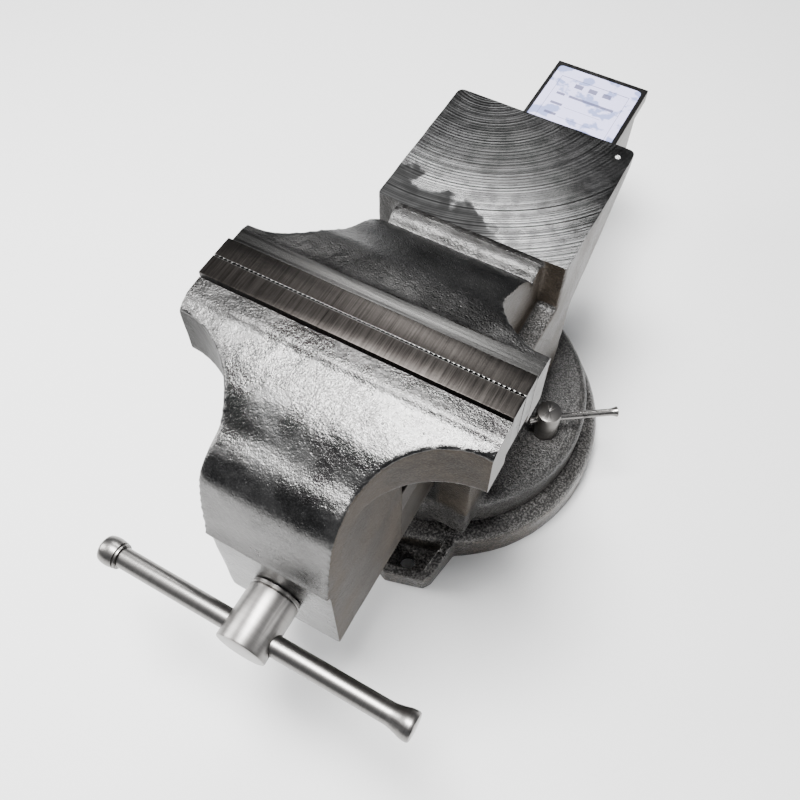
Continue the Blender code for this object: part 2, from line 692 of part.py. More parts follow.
def lead_screw():
    """Round head with the handle's cross bore, then the screw's shank; +Z is the head's end."""
    head_end = FRONT_Y - SCREW_HEAD_Y
    shoulder = WASHER_THICKNESS + 2 * TOUCH_GAP
    tip = FRONT_Y - (SEAM_Y + SCREW_END)
    edge = 0.0015
    profile = [(0.0, head_end), (SCREW_HEAD_RADIUS - edge, head_end),
               (SCREW_HEAD_RADIUS, head_end - edge), (SCREW_HEAD_RADIUS, shoulder),
               (SCREW_RADIUS, shoulder), (SCREW_RADIUS, tip + 0.002), (SCREW_RADIUS - 0.002, tip),
               (0.0, tip)]
    screw = turned("lead_screw", profile, ROUND)
    laid_along(screw, "-Y", (0.0, FRONT_Y, SCREW_AXIS))
    bore = cylinder("handle_bore", "X", HANDLE_RADIUS + HANDLE_BORE_FIT,
                    (0.0, HANDLE_Y, SCREW_AXIS), 0.1, 28)
    pin_hole = cylinder("pin_hole", "X", PIN_RADIUS + SCREW_HOLE_CLEARANCE, pin_place(), 0.1, 16)
    combine(screw, "DIFFERENCE", bore)
    combine(screw, "DIFFERENCE", pin_hole)
    return as_part(settle(screw), "lead_screw", TURNED_STEEL, SCREW_FRAME)


def pin_place():
    return (0.0, COLLAR_Y + COLLAR_LENGTH / 2, SCREW_AXIS)


def ring(name, inner, outer, start, length, finish, parent, sides=ROUND):
    """A plain ring on the screw's axis, from start towards the tail."""
    profile = [(inner, 0.0), (outer, 0.0), (outer, -length), (inner, -length)]
    obj = turned(name, profile, sides, closed=True)
    laid_along(obj, "-Y", (0.0, start, SCREW_AXIS))
    return as_part(obj, name, finish, parent)


def retaining_collar():
    collar = ring("retaining_collar", SCREW_RADIUS + TOUCH_GAP, COLLAR_RADIUS, COLLAR_Y,
                  COLLAR_LENGTH, DARK_STEEL, SCREW_FRAME)
    hole = cylinder("collar_pin_hole", "X", PIN_RADIUS + SCREW_HOLE_CLEARANCE, pin_place(), 0.1, 16)
    combine(collar, "DIFFERENCE", hole)
    return settle(collar)


def split_pin():
    pin = cylinder("split_pin", "X", PIN_RADIUS, (0.0, 0.0, 0.0), PIN_LENGTH, 12)
    pin.location = pin_place()
    bpy.context.view_layer.update()
    return as_part(pin, "split_pin", DARK_STEEL, SCREW_FRAME)


def return_spring():
    """Helical wire between the front wall and the collar."""
    radius = SCREW_RADIUS + SPRING_WIRE_RADIUS + 0.0007
    run = SPRING_LENGTH - 2 * SPRING_WIRE_RADIUS - 2 * TOUCH_GAP
    curve = bpy.data.curves.new("return_spring", "CURVE")
    curve.dimensions = "3D"
    curve.bevel_depth = SPRING_WIRE_RADIUS
    curve.bevel_resolution = 2
    curve.use_fill_caps = True
    count = SPRING_TURNS * 14
    spline = curve.splines.new("POLY")
    spline.points.add(count)
    for index, point in enumerate(spline.points):
        angle = math.tau * SPRING_TURNS * index / count
        point.co = (radius * math.cos(angle), run * index / count, radius * math.sin(angle), 1.0)
    wire = bpy.data.objects.new("return_spring", curve)
    bpy.context.scene.collection.objects.link(wire)
    wire.location = (0.0, SPRING_Y + SPRING_WIRE_RADIUS + TOUCH_GAP, SCREW_AXIS)
    return as_part(curve_to_mesh(wire, "return_spring"), "return_spring", DARK_STEEL, SCREW_FRAME)


def lead_nut():
    half = CHANNEL_WIDTH / 2 - NUT_SIDE_CLEARANCE
    low = (-half, NUT_Y - NUT_LENGTH / 2, TUNNEL_FLOOR + TOUCH_GAP)
    high = (half, NUT_Y + NUT_LENGTH / 2, CHANNEL_TOP - 0.001)
    nut = box("lead_nut", low, high)
    bore = cylinder("nut_bore", "Y", SCREW_RADIUS + SCREW_BORE_FIT, (0.0, NUT_Y, SCREW_AXIS), 0.2)
    hole = cylinder("nut_bolt_seat", "Z", NUT_BOLT_RADIUS + SCREW_HOLE_CLEARANCE,
                    (0.0, NUT_Y, TUNNEL_FLOOR), 2 * (NUT_BOLT_BITE + 0.001), SMALL_ROUND)
    combine(nut, "DIFFERENCE", bore)
    combine(nut, "DIFFERENCE", hole)
    return as_part(settle(nut), "lead_nut", BRONZE, SWIVEL_FRAME)


def nut_bolt():
    """Hexagon bolt through the swivel disc into the lead nut."""
    head_top = BASE_FLANGE_BOTTOM + TOUCH_GAP + NUT_BOLT_HEAD_HEIGHT + 0.0017
    head = cylinder("nut_bolt", "Z", NUT_BOLT_HEAD_RADIUS,
                    (0.0, NUT_Y, head_top - NUT_BOLT_HEAD_HEIGHT / 2), NUT_BOLT_HEAD_HEIGHT, 6)
    start = head_top - NUT_BOLT_HEAD_HEIGHT / 2
    end = TUNNEL_FLOOR + NUT_BOLT_BITE
    shank = cylinder("nut_bolt_shank", "Z", NUT_BOLT_RADIUS, (0.0, NUT_Y, (start + end) / 2),
                     end - start, SMALL_ROUND)
    combine(head, "UNION", shank)
    return as_part(settle(head), "nut_bolt", DARK_STEEL, SWIVEL_FRAME)


def handle_bar():
    """Bar with a forged head at +X and a spigot for the cap at -X."""
    end = HANDLE_LENGTH / 2
    neck = end - HANDLE_HEAD_LENGTH
    cap_face = -end + HANDLE_HEAD_LENGTH
    profile = [(0.0, end), (HANDLE_HEAD_RADIUS - 0.001, end), (HANDLE_HEAD_RADIUS, end - 0.001),
               (HANDLE_HEAD_RADIUS - 0.0006, neck + 0.004), (HANDLE_RADIUS + 0.0008, neck + 0.001),
               (HANDLE_RADIUS, neck - 0.002), (HANDLE_RADIUS, cap_face + TOUCH_GAP),
               (HANDLE_SPIGOT_RADIUS, cap_face + TOUCH_GAP),
               (HANDLE_SPIGOT_RADIUS, cap_face - HANDLE_SPIGOT_LENGTH),
               (0.0, cap_face - HANDLE_SPIGOT_LENGTH)]
    bar = turned("handle_bar", profile, 28)
    laid_along(bar, "X", (0.0, HANDLE_Y, SCREW_AXIS))
    return as_part(bar, "handle_bar", TURNED_STEEL, HANDLE_FRAME)


def handle_cap():
    """Barrel-shaped cap with a blind bore, on the bar's -X end; its closed end is at height 0."""
    radius = HANDLE_HEAD_RADIUS
    length = HANDLE_HEAD_LENGTH
    bore = HANDLE_SPIGOT_RADIUS + TOUCH_GAP
    depth = length - HANDLE_SPIGOT_LENGTH - TOUCH_GAP
    profile = [(0.0, length), (radius - 0.0012, length), (radius, length * 0.68),
               (radius, length * 0.36), (radius * 0.88, length * 0.12), (radius * 0.62, 0.0),
               (0.0, 0.0)]
    cap = turned("handle_cap", profile, 28)
    socket = cylinder("cap_socket", "Z", bore, (0.0, 0.0, depth + length), 2 * length, 24)
    combine(cap, "DIFFERENCE", socket)
    settle(cap)
    laid_along(cap, "X", (-HANDLE_LENGTH / 2, HANDLE_Y, SCREW_AXIS))
    return as_part(cap, "handle_cap", TURNED_STEEL, HANDLE_FRAME)


def inspection_label():
    """Paper slip with rounded corners on the slide's tail."""
    half_x, half_y = LABEL_WIDTH / 2 - LABEL_CORNER, LABEL_LENGTH / 2 - LABEL_CORNER
    middle = TAIL_Y - LABEL_FROM_TAIL - LABEL_LENGTH / 2
    outline = []
    for sx, sy, start in ((1, 1, 0), (-1, 1, 90), (-1, -1, 180), (1, -1, 270)):
        outline += arc((sx * half_x, middle + sy * half_y), LABEL_CORNER, start, start + 90, 3)
    low = SLIDE_TOP + TOUCH_GAP / 2
    label = outline_prism("inspection_label", "XY", outline, low, low + LABEL_THICKNESS)
    return as_part(label, "inspection_label", PAPER, JAW_FRAME)


# ---------------------------------------------------------------- the vise

clear_scene()
PARTS = make_collection("bench_vise")
CUTTERS = make_collection("cutters")
SWIVEL_FRAME = joint_frame("swivel_frame", (0.0, 0.0, DISC_BOTTOM))
JAW_FRAME = joint_frame("jaw_frame", (0.0, SEAM_Y, SCREW_AXIS))
SCREW_FRAME = joint_frame("screw_frame", (0.0, FRONT_Y, SCREW_AXIS))
HANDLE_FRAME = joint_frame("handle_frame", (0.0, HANDLE_Y, SCREW_AXIS))

swivel_base()
clamp_disc()
fixed_jaw_body()
moving_jaw_body()
jaw_plate("fixed_jaw_plate", 1, SWIVEL_FRAME)
jaw_plate("moving_jaw_plate", -1, JAW_FRAME)
for side_name, side_sign in (("left", -1), ("right", 1)):
    plate_screw("fixed_plate_screw_" + side_name, side_sign, 1, SWIVEL_FRAME)
    plate_screw("moving_plate_screw_" + side_name, side_sign, -1, JAW_FRAME)
    bolt_frame = joint_frame("lock_frame_" + side_name,
                             (side_sign * LOCK_BOLT_SPREAD, LOCK_BOLT_Y, DISC_TOP))
    lock_bolt("lock_bolt_" + side_name, side_sign, bolt_frame)
    lock_lever("lock_lever_" + side_name, side_sign, bolt_frame)
lead_nut()
nut_bolt()
lead_screw()
ring("thrust_washer", SCREW_RADIUS + SCREW_BORE_FIT, SCREW_HEAD_RADIUS - 0.0004,
     FRONT_Y - TOUCH_GAP - WASHER_THICKNESS, WASHER_THICKNESS, TURNED_STEEL, SCREW_FRAME)
return_spring()
retaining_collar()
split_pin()
handle_bar()
handle_cap()
inspection_label()
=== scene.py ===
"""Finish of the heavy bench vise: sand-cast bodies with machined faces, turned steel, paper slip.

Metres, +Z up. X runs along the jaws, +Y points to the slide's tail and -Y to the handle.
"""

import math

import bmesh
import bpy
import numpy as np
from mathutils import Matrix, Vector, noise

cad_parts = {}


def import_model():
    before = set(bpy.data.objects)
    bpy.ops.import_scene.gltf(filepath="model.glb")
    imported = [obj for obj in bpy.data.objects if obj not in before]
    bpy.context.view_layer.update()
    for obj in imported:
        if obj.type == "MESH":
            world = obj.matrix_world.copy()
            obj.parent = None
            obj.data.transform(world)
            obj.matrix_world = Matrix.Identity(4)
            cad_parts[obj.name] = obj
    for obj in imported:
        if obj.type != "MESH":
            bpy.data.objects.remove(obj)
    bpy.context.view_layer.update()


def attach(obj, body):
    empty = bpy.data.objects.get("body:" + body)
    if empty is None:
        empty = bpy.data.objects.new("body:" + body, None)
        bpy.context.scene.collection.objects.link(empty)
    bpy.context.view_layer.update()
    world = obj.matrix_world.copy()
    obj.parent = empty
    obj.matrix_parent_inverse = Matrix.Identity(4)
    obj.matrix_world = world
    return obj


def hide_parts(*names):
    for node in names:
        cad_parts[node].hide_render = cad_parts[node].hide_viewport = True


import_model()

# Jaws and plates
SEAM_Y = -0.130
JAW_TOP = 0.302
JAW_HALF = 0.100
HALF_GAP = 0.00015
PLATE_THICKNESS = 0.015
PLATE_BACK = 0.0153
PLATE_HEIGHT = 0.040
PLATE_PROUD = 0.004
PLATE_EDGE = 0.0005
SERRATION_PITCH = 0.0030
SERRATION_DEPTH = 0.0007
SERRATION_STEP = 0.00075
SCREW_SPREAD = 0.060
SCREW_DROP = 0.020
SCREW_HOLE_RADIUS = 0.0044
SCREW_HOLE_DEPTH = 0.028
BAND_END = 0.0283
BAND_Z = 0.2972
HEAD_HEIGHT = 0.050
HEAD_BOTTOM = JAW_TOP - HEAD_HEIGHT
MOVING_HEAD_FACE = 0.0373
FIXED_HEAD_FACE = 0.0343
MOVING_FLARE = 0.057
FIXED_FLARE = 0.043
JAW_RELIEF = 0.002

# Slide
SLIDE_HALF = 0.043
SLIDE_TOP = 0.180
SLIDE_BOTTOM = 0.106
CHANNEL_HALF = 0.028
CHANNEL_TOP = 0.168
FRONT_Y = -0.247
TAIL_Y = 0.290
LEGS_END_Y = 0.264
FRONT_WALL = 0.020
SLIDE_EDGE = 0.0007
BOX_SKIN = 0.0004

# Fixed body
HOUSING_HALF = 0.073
HOUSING_FRONT_Y = -0.112
HOUSING_REAR_Y = 0.050
HOUSING_LEDGE = 0.197
NECK_HALF = 0.057
ANVIL_FRONT_Y = 0.012
ANVIL_REAR_Y = 0.141
ANVIL_TOP = 0.241
ANVIL_EDGE = 0.009
ANVIL_CORNER = 0.003
GUSSET_FOOT = 0.160
ROLL_RADIUS = 0.0078
DISC_RADIUS = 0.119
DISC_TOP = 0.068
DISC_BOTTOM = 0.036
DISC_UNDER = 0.0223
DISC_ROUNDING = 0.007
SPIGOT_RADIUS = 0.1015
TUNNEL_HALF = 0.0435
TUNNEL_TOP = 0.181
TUNNEL_FLOOR = 0.1055
STAKE_SPOT = (0.063, 0.129)

# Base
BASE_RADIUS = 0.134
BASE_SHOULDER = 0.122
BASE_TOP = 0.0357
BASE_SHOULDER_DROP = 0.012
BASE_BORE = 0.102
BASE_RECESS = 0.116
BASE_FLANGE_BOTTOM = 0.022
CLAMP_TOP = 0.0217
LUG_ANGLE = math.radians(15.4)
LUG_REACH = 0.163
LUG_HOLE_DISTANCE = 0.147
LUG_HOLE_RADIUS = 0.0068
LUG_FLOOR = 0.012

# Screw, handle and lock bolts
SCREW_AXIS = 0.150
SCREW_CORE = 0.0107
SCREW_RADIUS = 0.013
SCREW_HEAD_RADIUS = 0.018
SCREW_HEAD_Y = -0.290
SCREW_TIP_Y = 0.210
THREAD_PITCH = 0.006
THREAD_START_Y = -0.180
HANDLE_Y = -0.277
HANDLE_RADIUS = 0.0072
HANDLE_HALF = 0.117
HANDLE_HEAD_RADIUS = 0.010
HANDLE_HEAD_LENGTH = 0.015
NUT_Y = -0.035
NUT_BOLT_HOLE_RADIUS = 0.0074
NUT_BOLT_SINK_RADIUS = 0.012
NUT_BOLT_SINK_DEPTH = 0.0333
PIN_Y = -0.1984
PIN_HOLE_RADIUS = 0.0024
LOCK_SPREAD = 0.092
LOCK_Y = -0.006
LOCK_HOLE_RADIUS = 0.0064
LOCK_SPOT_RADIUS = 0.0115
LOCK_HEAD_RADIUS = 0.010
LOCK_HEAD_BOTTOM = 0.0683
LOCK_HEAD_TOP = 0.098
LEVER_Z = 0.088
LEVER_ANGLE = math.radians(35.0)
LEVER_RADIUS = 0.003
LEVER_LENGTH = 0.073
LABEL_HALF_WIDTH = 0.039
LABEL_FRONT_Y = 0.179
LABEL_REAR_Y = 0.284
LABEL_Z = 0.18015

ROUND = 96
SMALL_ROUND = 48


# ---------------------------------------------------------------- shapes

def mesh_object(name, mesh):
    obj = bpy.data.objects.new(name, mesh)
    bpy.context.scene.collection.objects.link(obj)
    return obj


def settle(obj):
    """Turn an object's modifiers and placing into its own mesh."""
    bpy.context.view_layer.update()
    evaluated = obj.evaluated_get(bpy.context.evaluated_depsgraph_get())
    mesh = bpy.data.meshes.new_from_object(evaluated)
    mesh.transform(obj.matrix_world)
    obj.modifiers.clear()
    obj.matrix_world = Matrix.Identity(4)
    obj.data = mesh
    return obj


def combine(target, operation, tool, solver="EXACT"):
    """Join, cut or intersect the target with a tool shape, which is used up."""
    modifier = target.modifiers.new(operation.title(), "BOOLEAN")
    modifier.operation = operation
    modifier.solver = solver
    modifier.object = tool
    settle(target)
    bpy.data.objects.remove(tool, do_unlink=True)
    return target


def cut(target, tool):
    """Take a tool shape out of a closed casting, with crisp edges."""
    return combine(target, "DIFFERENCE", tool, "MANIFOLD")


def lifted(plane, a, b, height):
    if plane == "XY":
        return (a, b, height)
    if plane == "YZ":
        return (height, a, b)
    return (a, height, b)


def prism(name, plane, outline, low, high):
    """Extrude a flat outline from low to high along the axis that its plane leaves out."""
    shape = bmesh.new()
    lower = [shape.verts.new(lifted(plane, a, b, low)) for a, b in outline]
    upper = [shape.verts.new(lifted(plane, a, b, high)) for a, b in outline]
    shape.faces.new(lower)
    shape.faces.new(upper)
    for index in range(len(outline)):
        after = (index + 1) % len(outline)
        shape.faces.new((lower[index], lower[after], upper[after], upper[index]))
    bmesh.ops.recalc_face_normals(shape, faces=shape.faces)
    return from_bmesh(name, shape)


def from_bmesh(name, shape):
    mesh = bpy.data.meshes.new(name)
    shape.to_mesh(mesh)
    shape.free()
    return mesh_object(name, mesh)


def block(name, low, high):
    outline = [(low[0], low[1]), (high[0], low[1]), (high[0], high[1]), (low[0], high[1])]
    return prism(name, "XY", outline, low[2], high[2])


def bevelled(obj, width, segments=2, angle=30.0):
    """Break the sharp edges of a shape."""
    modifier = obj.modifiers.new("Edge", "BEVEL")
    modifier.width = width
    modifier.segments = segments
    modifier.limit_method = "ANGLE"
    modifier.angle_limit = math.radians(angle)
    return settle(obj)


def lathe(name, profile, sides=ROUND, closed=False):
    """Revolve (radius, height) points about Z; points on the axis close the shape."""
    shape = bmesh.new()
    rings = []
    for radius, height in profile:
        if radius == 0.0:
            rings.append([shape.verts.new((0.0, 0.0, height))])
            continue
        turns = (math.tau * k / sides for k in range(sides))
        rings.append([shape.verts.new((radius * math.cos(a), radius * math.sin(a), height))
                      for a in turns])
    pairs = list(zip(rings, rings[1:]))
    if closed:
        pairs.append((rings[-1], rings[0]))
    for first, second in pairs:
        for k in range(sides):
            after = (k + 1) % sides
            corners = [first[k % len(first)], first[after % len(first)],
                       second[after % len(second)], second[k % len(second)]]
            shape.faces.new(list(dict.fromkeys(corners)))
    bmesh.ops.recalc_face_normals(shape, faces=shape.faces)
    return from_bmesh(name, shape)


ALONG = {
    "X": Matrix.Rotation(math.radians(90.0), 4, "Y"),
    "-X": Matrix.Rotation(math.radians(-90.0), 4, "Y"),
    "Y": Matrix.Rotation(math.radians(-90.0), 4, "X"),
    "-Y": Matrix.Rotation(math.radians(90.0), 4, "X"),
    "Z": Matrix.Identity(4),
}


def laid(obj, axis, origin):
    """Lay a shape turned about Z along an axis, with its height 0 at an origin."""
    obj.data.transform(Matrix.Translation(origin) @ ALONG[axis])
    return obj


def rod(name, axis, radius, start, length, sides=SMALL_ROUND):
    shape = lathe(name, [(0.0, 0.0), (radius, 0.0), (radius, length), (0.0, length)], sides)
    return laid(shape, axis, start)


def arc(centre, radius, start, end, steps):
    """Points on an arc, angles in degrees."""
    angles = [math.radians(start + (end - start) * k / steps) for k in range(steps + 1)]
    return [(centre[0] + radius * math.cos(a), centre[1] + radius * math.sin(a)) for a in angles]


def smooth_line(points, steps):
    """A smooth line through the given points, as short straight runs."""
    padded = [points[0], *points, points[-1]]
    line = []
    for index in range(len(points) - 1):
        p0, p1, p2, p3 = (Vector(p) for p in padded[index:index + 4])
        for step in range(steps):
            t = step / steps
            spot = 0.5 * (2 * p1 + (p2 - p0) * t + (2 * p0 - 5 * p1 + 4 * p2 - p3) * t * t
                          + (3 * p1 - p0 - 3 * p2 + p3) * t ** 3)
            line.append(tuple(spot))
    line.append(tuple(points[-1]))
    return line


def cast_skin(obj, voxel, rounds, ripple=(0.00022, 0.012), wave=(0.00045, 0.034)):
    """Soften a shape as a sand mould does: filleted corners and a slightly uneven skin."""
    remesh = obj.modifiers.new("Skin", "REMESH")
    remesh.mode = "VOXEL"
    remesh.voxel_size = voxel
    smooth = obj.modifiers.new("Soften", "SMOOTH")
    smooth.factor = 0.5
    smooth.iterations = rounds
    settle(obj)
    spots = vertex_data(obj.data, "co")
    normals = vertex_data(obj.data, "normal")
    for height, length in (ripple, wave):
        swing = [noise.noise(Vector(spot) / length) for spot in spots.tolist()]
        spots += normals * (height * np.array(swing, np.float32))[:, None]
    obj.data.vertices.foreach_set("co", spots.ravel())
    obj.data.update()
    return obj


def vertex_data(mesh, field):
    values = np.zeros(len(mesh.vertices) * 3, np.float32)
    mesh.vertices.foreach_get(field, values)
    return values.reshape(-1, 3)


def from_seam(direction, points):
    """Turn (distance from the seam, drop below the jaw top) into (y, z)."""
    return [(SEAM_Y + direction * reach, JAW_TOP - drop) for reach, drop in points]


def finished(obj, body, nodes, materials, sharp=35.0, zones=()):
    """Shade a piece, give it its finish, and hand it over to its body."""
    obj.data.materials.clear()
    for material in materials:
        obj.data.materials.append(material)
    paint_faces(obj, zones)
    obj.data.shade_smooth()
    obj.data.set_sharp_from_angle(angle=math.radians(sharp))
    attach(obj, body)
    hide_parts(*nodes)
    return obj


def face_data(mesh):
    count = len(mesh.polygons)
    centres = np.zeros(count * 3, np.float32)
    normals = np.zeros(count * 3, np.float32)
    mesh.polygons.foreach_get("center", centres)
    mesh.polygons.foreach_get("normal", normals)
    return centres.reshape(-1, 3), normals.reshape(-1, 3)


def paint_faces(obj, zones):
    """Give faces that lie on listed planes their own material: (axis, place, index)."""
    centres, normals = face_data(obj.data)
    chosen = np.zeros(len(centres), np.int32)
    for axis, place, index in zones:
        on_plane = np.abs(centres[:, axis] - place) < 0.00003
        chosen[on_plane & (np.abs(normals[:, axis]) > 0.999)] = index
    obj.data.polygons.foreach_set("material_index", chosen)


# ---------------------------------------------------------------- shader graphs

def put(tree, kind, inputs=None, **settings):
    """Add a node, set it up, and wire or set its inputs."""
    item = tree.nodes.new(kind)
    for key, value in settings.items():
        setattr(item, key, value)
    for key, value in (inputs or {}).items():
        socket = item.inputs[key]
        if isinstance(value, bpy.types.NodeSocket):
            tree.links.new(value, socket)
        else:
            socket.default_value = value
    return item


def calc(tree, operation, first, second=0.0, third=None):
    inputs = {0: first, 1: second}
    if third is not None:
        inputs[2] = third
    return put(tree, "ShaderNodeMath", inputs, operation=operation).outputs[0]


def split(tree, vector):
    """The X, Y and Z of a vector."""
    return put(tree, "ShaderNodeSeparateXYZ", {0: vector}).outputs


def ramp(tree, value, low, high, to_low=0.0, to_high=1.0):
    """Smooth step of a value from one range to another."""
    inputs = {"Value": value, "From Min": low, "From Max": high, "To Min": to_low, "To Max": to_high}
    return put(tree, "ShaderNodeMapRange", inputs, interpolation_type="SMOOTHSTEP").outputs[0]


def blend_colour(tree, factor, first, second, mode="MIX"):
    item = put(tree, "ShaderNodeMix", {"Factor": factor}, data_type="RGBA", blend_type=mode)
    for name, value in (("A", first), ("B", second)):
        socket = next(s for s in item.inputs if s.name == name and s.type == "RGBA")
        if isinstance(value, bpy.types.NodeSocket):
            tree.links.new(value, socket)
        else:
            socket.default_value = (*value, 1.0)
    return next(s for s in item.outputs if s.type == "RGBA")


def shader_group(name, inputs, outputs):
    """A node group with named sockets; returns the tree, its inputs and its output node."""
    tree = bpy.data.node_groups.new(name, "ShaderNodeTree")
    for label, kind, value in inputs:
        socket = tree.interface.new_socket(label, in_out="INPUT", socket_type=kind)
        if value is not None:
            socket.default_value = value
    for label, kind in outputs:
        tree.interface.new_socket(label, in_out="OUTPUT", socket_type=kind)
    return tree, tree.nodes.new("NodeGroupInput").outputs, tree.nodes.new("NodeGroupOutput")


def give(tree, output_node, **values):
    for label, value in values.items():
        tree.links.new(value, output_node.inputs[label.replace("_", " ")])


def use(tree, group, **values):
    inputs = {key.replace("_", " "): value for key, value in values.items()}
    item = tree.nodes.new("ShaderNodeGroup")
    item.node_tree = group
    for key, value in inputs.items():
        if isinstance(value, bpy.types.NodeSocket):
            tree.links.new(value, item.inputs[key])
        else:
            item.inputs[key].default_value = value
    return item.outputs


VECTOR, FLOAT, COLOUR = "NodeSocketVector", "NodeSocketFloat", "NodeSocketColor"


def sand_grain():
    """Skin of a sand casting: fine grain, peel, pits and slow clouds."""
    tree, inp, out = shader_group(
        "sand_grain",
        [("Position", VECTOR, None), ("Grain Size", FLOAT, 0.0014), ("Pit Share", FLOAT, 0.3)],
        [("Height", FLOAT), ("Speckle", FLOAT), ("Cloud", FLOAT)])
    scale = calc(tree, "DIVIDE", 1.0, inp["Grain Size"])
    grain = put(tree, "ShaderNodeTexNoise", {"Vector": inp["Position"], "Scale": scale,
                                             "Detail": 3.0, "Roughness": 0.6}).outputs[0]
    peel = put(tree, "ShaderNodeTexNoise", {"Vector": inp["Position"], "Detail": 2.0,
                                            "Scale": calc(tree, "MULTIPLY", scale, 0.24)}).outputs[0]
    pits = put(tree, "ShaderNodeTexVoronoi", {"Vector": inp["Position"],
                                              "Scale": calc(tree, "MULTIPLY", scale, 0.42)}).outputs[0]
    pit_mask = ramp(tree, pits, 0.32, 0.08)
    clouds = put(tree, "ShaderNodeTexNoise", {"Vector": inp["Position"], "Scale": 26.0,
                                              "Detail": 5.0, "Roughness": 0.62}).outputs[0]
    height = calc(tree, "MULTIPLY_ADD", grain, 0.55, calc(tree, "MULTIPLY", peel, 0.8))
    height = calc(tree, "MULTIPLY_ADD", calc(tree, "MULTIPLY", pit_mask, inp["Pit Share"]),
                  -0.5, height)
    give(tree, out, Height=height, Speckle=ramp(tree, grain, 0.42, 0.66),
         Cloud=ramp(tree, clouds, 0.36, 0.66))
    return tree


def drawn_lines():
    """Scratches of a grinding pass: noise stretched along one direction."""
    tree, inp, out = shader_group(
        "drawn_lines", [("Position", VECTOR, None), ("Stretch", VECTOR, (1.0, 1.0, 1.0))],
        [("Height", FLOAT), ("Tone", FLOAT), ("Deep", FLOAT)])
    place = put(tree, "ShaderNodeVectorMath", {0: inp["Position"], 1: inp["Stretch"]},
                operation="MULTIPLY").outputs[0]
    fine = put(tree, "ShaderNodeTexNoise", {"Vector": place, "Scale": 1.0, "Detail": 4.0,
                                            "Roughness": 0.7}).outputs[0]
    broad = put(tree, "ShaderNodeTexNoise", {"Vector": place, "Scale": 0.23, "Detail": 3.0,
                                             "Roughness": 0.6}).outputs[0]
    deep = put(tree, "ShaderNodeTexNoise", {"Vector": place, "Scale": 0.6, "Detail": 1.0}).outputs[0]
    give(tree, out, Height=fine, Tone=calc(tree, "MULTIPLY_ADD", fine, 0.5,
                                           calc(tree, "MULTIPLY", broad, 0.5)),
         Deep=ramp(tree, deep, 0.70, 0.76))
    return tree


def milled_arcs():
    """Sweeps of a face mill: grooves on circles about a centre, uneven in depth."""
    tree, inp, out = shader_group(
        "milled_arcs",
        [("Position", VECTOR, None), ("Centre", VECTOR, (0.0, 0.0, 0.0)), ("Pitch", FLOAT, 0.0016)],
        [("Height", FLOAT), ("Tone", FLOAT)])
    away = put(tree, "ShaderNodeVectorMath", {0: inp["Position"], 1: inp["Centre"]},
               operation="SUBTRACT").outputs[0]
    radius = put(tree, "ShaderNodeVectorMath", {0: away}, operation="LENGTH").outputs["Value"]
    turns = calc(tree, "DIVIDE", radius, inp["Pitch"])
    spread = put(tree, "ShaderNodeCombineXYZ", {"X": turns}).outputs[0]
    streak = put(tree, "ShaderNodeTexNoise", {"Vector": spread, "Scale": 0.9, "Detail": 4.0,
                                              "Roughness": 0.7}).outputs[0]
    broken = put(tree, "ShaderNodeTexNoise", {"Vector": inp["Position"], "Scale": 90.0,
                                              "Detail": 2.0}).outputs[0]
    wave = calc(tree, "SINE", calc(tree, "MULTIPLY", turns, math.tau * 0.5))
    height = calc(tree, "MULTIPLY_ADD", wave, 0.16, streak)
    tone = calc(tree, "MULTIPLY", ramp(tree, streak, 0.42, 0.58),
                ramp(tree, broken, 0.3, 0.62, 0.45, 1.0))
    give(tree, out, Height=height, Tone=tone)
    return tree


def flank_mask():
    """Masks of the upright walls beside the jaws' stems: all of them, and those on the -X side."""
    tree, inp, out = shader_group("flank_mask", [("Normal", VECTOR, None), ("Position", VECTOR, None)],
                                  [("Mask", FLOAT), ("Left", FLOAT)])
    parts = split(tree, inp["Normal"])
    spot = split(tree, inp["Position"])
    sideways = ramp(tree, calc(tree, "ABSOLUTE", parts[0]), 0.55, 0.9)
    upright = ramp(tree, calc(tree, "ABSOLUTE", parts[2]), 0.40, 0.15)
    outside = ramp(tree, calc(tree, "ABSOLUTE", spot[0]), 0.044, 0.050)
    give(tree, out, Mask=calc(tree, "MAXIMUM", sideways, calc(tree, "MULTIPLY", upright, outside)),
         Left=ramp(tree, spot[0], 0.0, -0.01))
    return tree


GRAIN = sand_grain()
LINES = drawn_lines()
ARCS = milled_arcs()
FLANK = flank_mask()


def new_material(name):
    """A material with its Principled shader and its object-space place and normal."""
    material = bpy.data.materials.new(name)
    material.use_nodes = True
    tree = material.node_tree
    shader = tree.nodes["Principled BSDF"]
    place = tree.nodes.new("ShaderNodeTexCoord").outputs
    return material, tree, shader, place


def bump(tree, height, distance, strength=1.0, below=None):
    inputs = {"Height": height, "Distance": distance, "Strength": strength}
    if below is not None:
        inputs["Normal"] = below
    return put(tree, "ShaderNodeBump", inputs).outputs[0]


def set_shader(tree, shader, **values):
    names = {"colour": "Base Color", "roughness": "Roughness", "metallic": "Metallic",
             "normal": "Normal", "specular": "Specular IOR Level"}
    for key, value in values.items():
        socket = shader.inputs[names[key]]
        if isinstance(value, bpy.types.NodeSocket):
            tree.links.new(value, socket)
        elif isinstance(value, tuple):
            socket.default_value = (*value, 1.0)
        else:
            socket.default_value = value


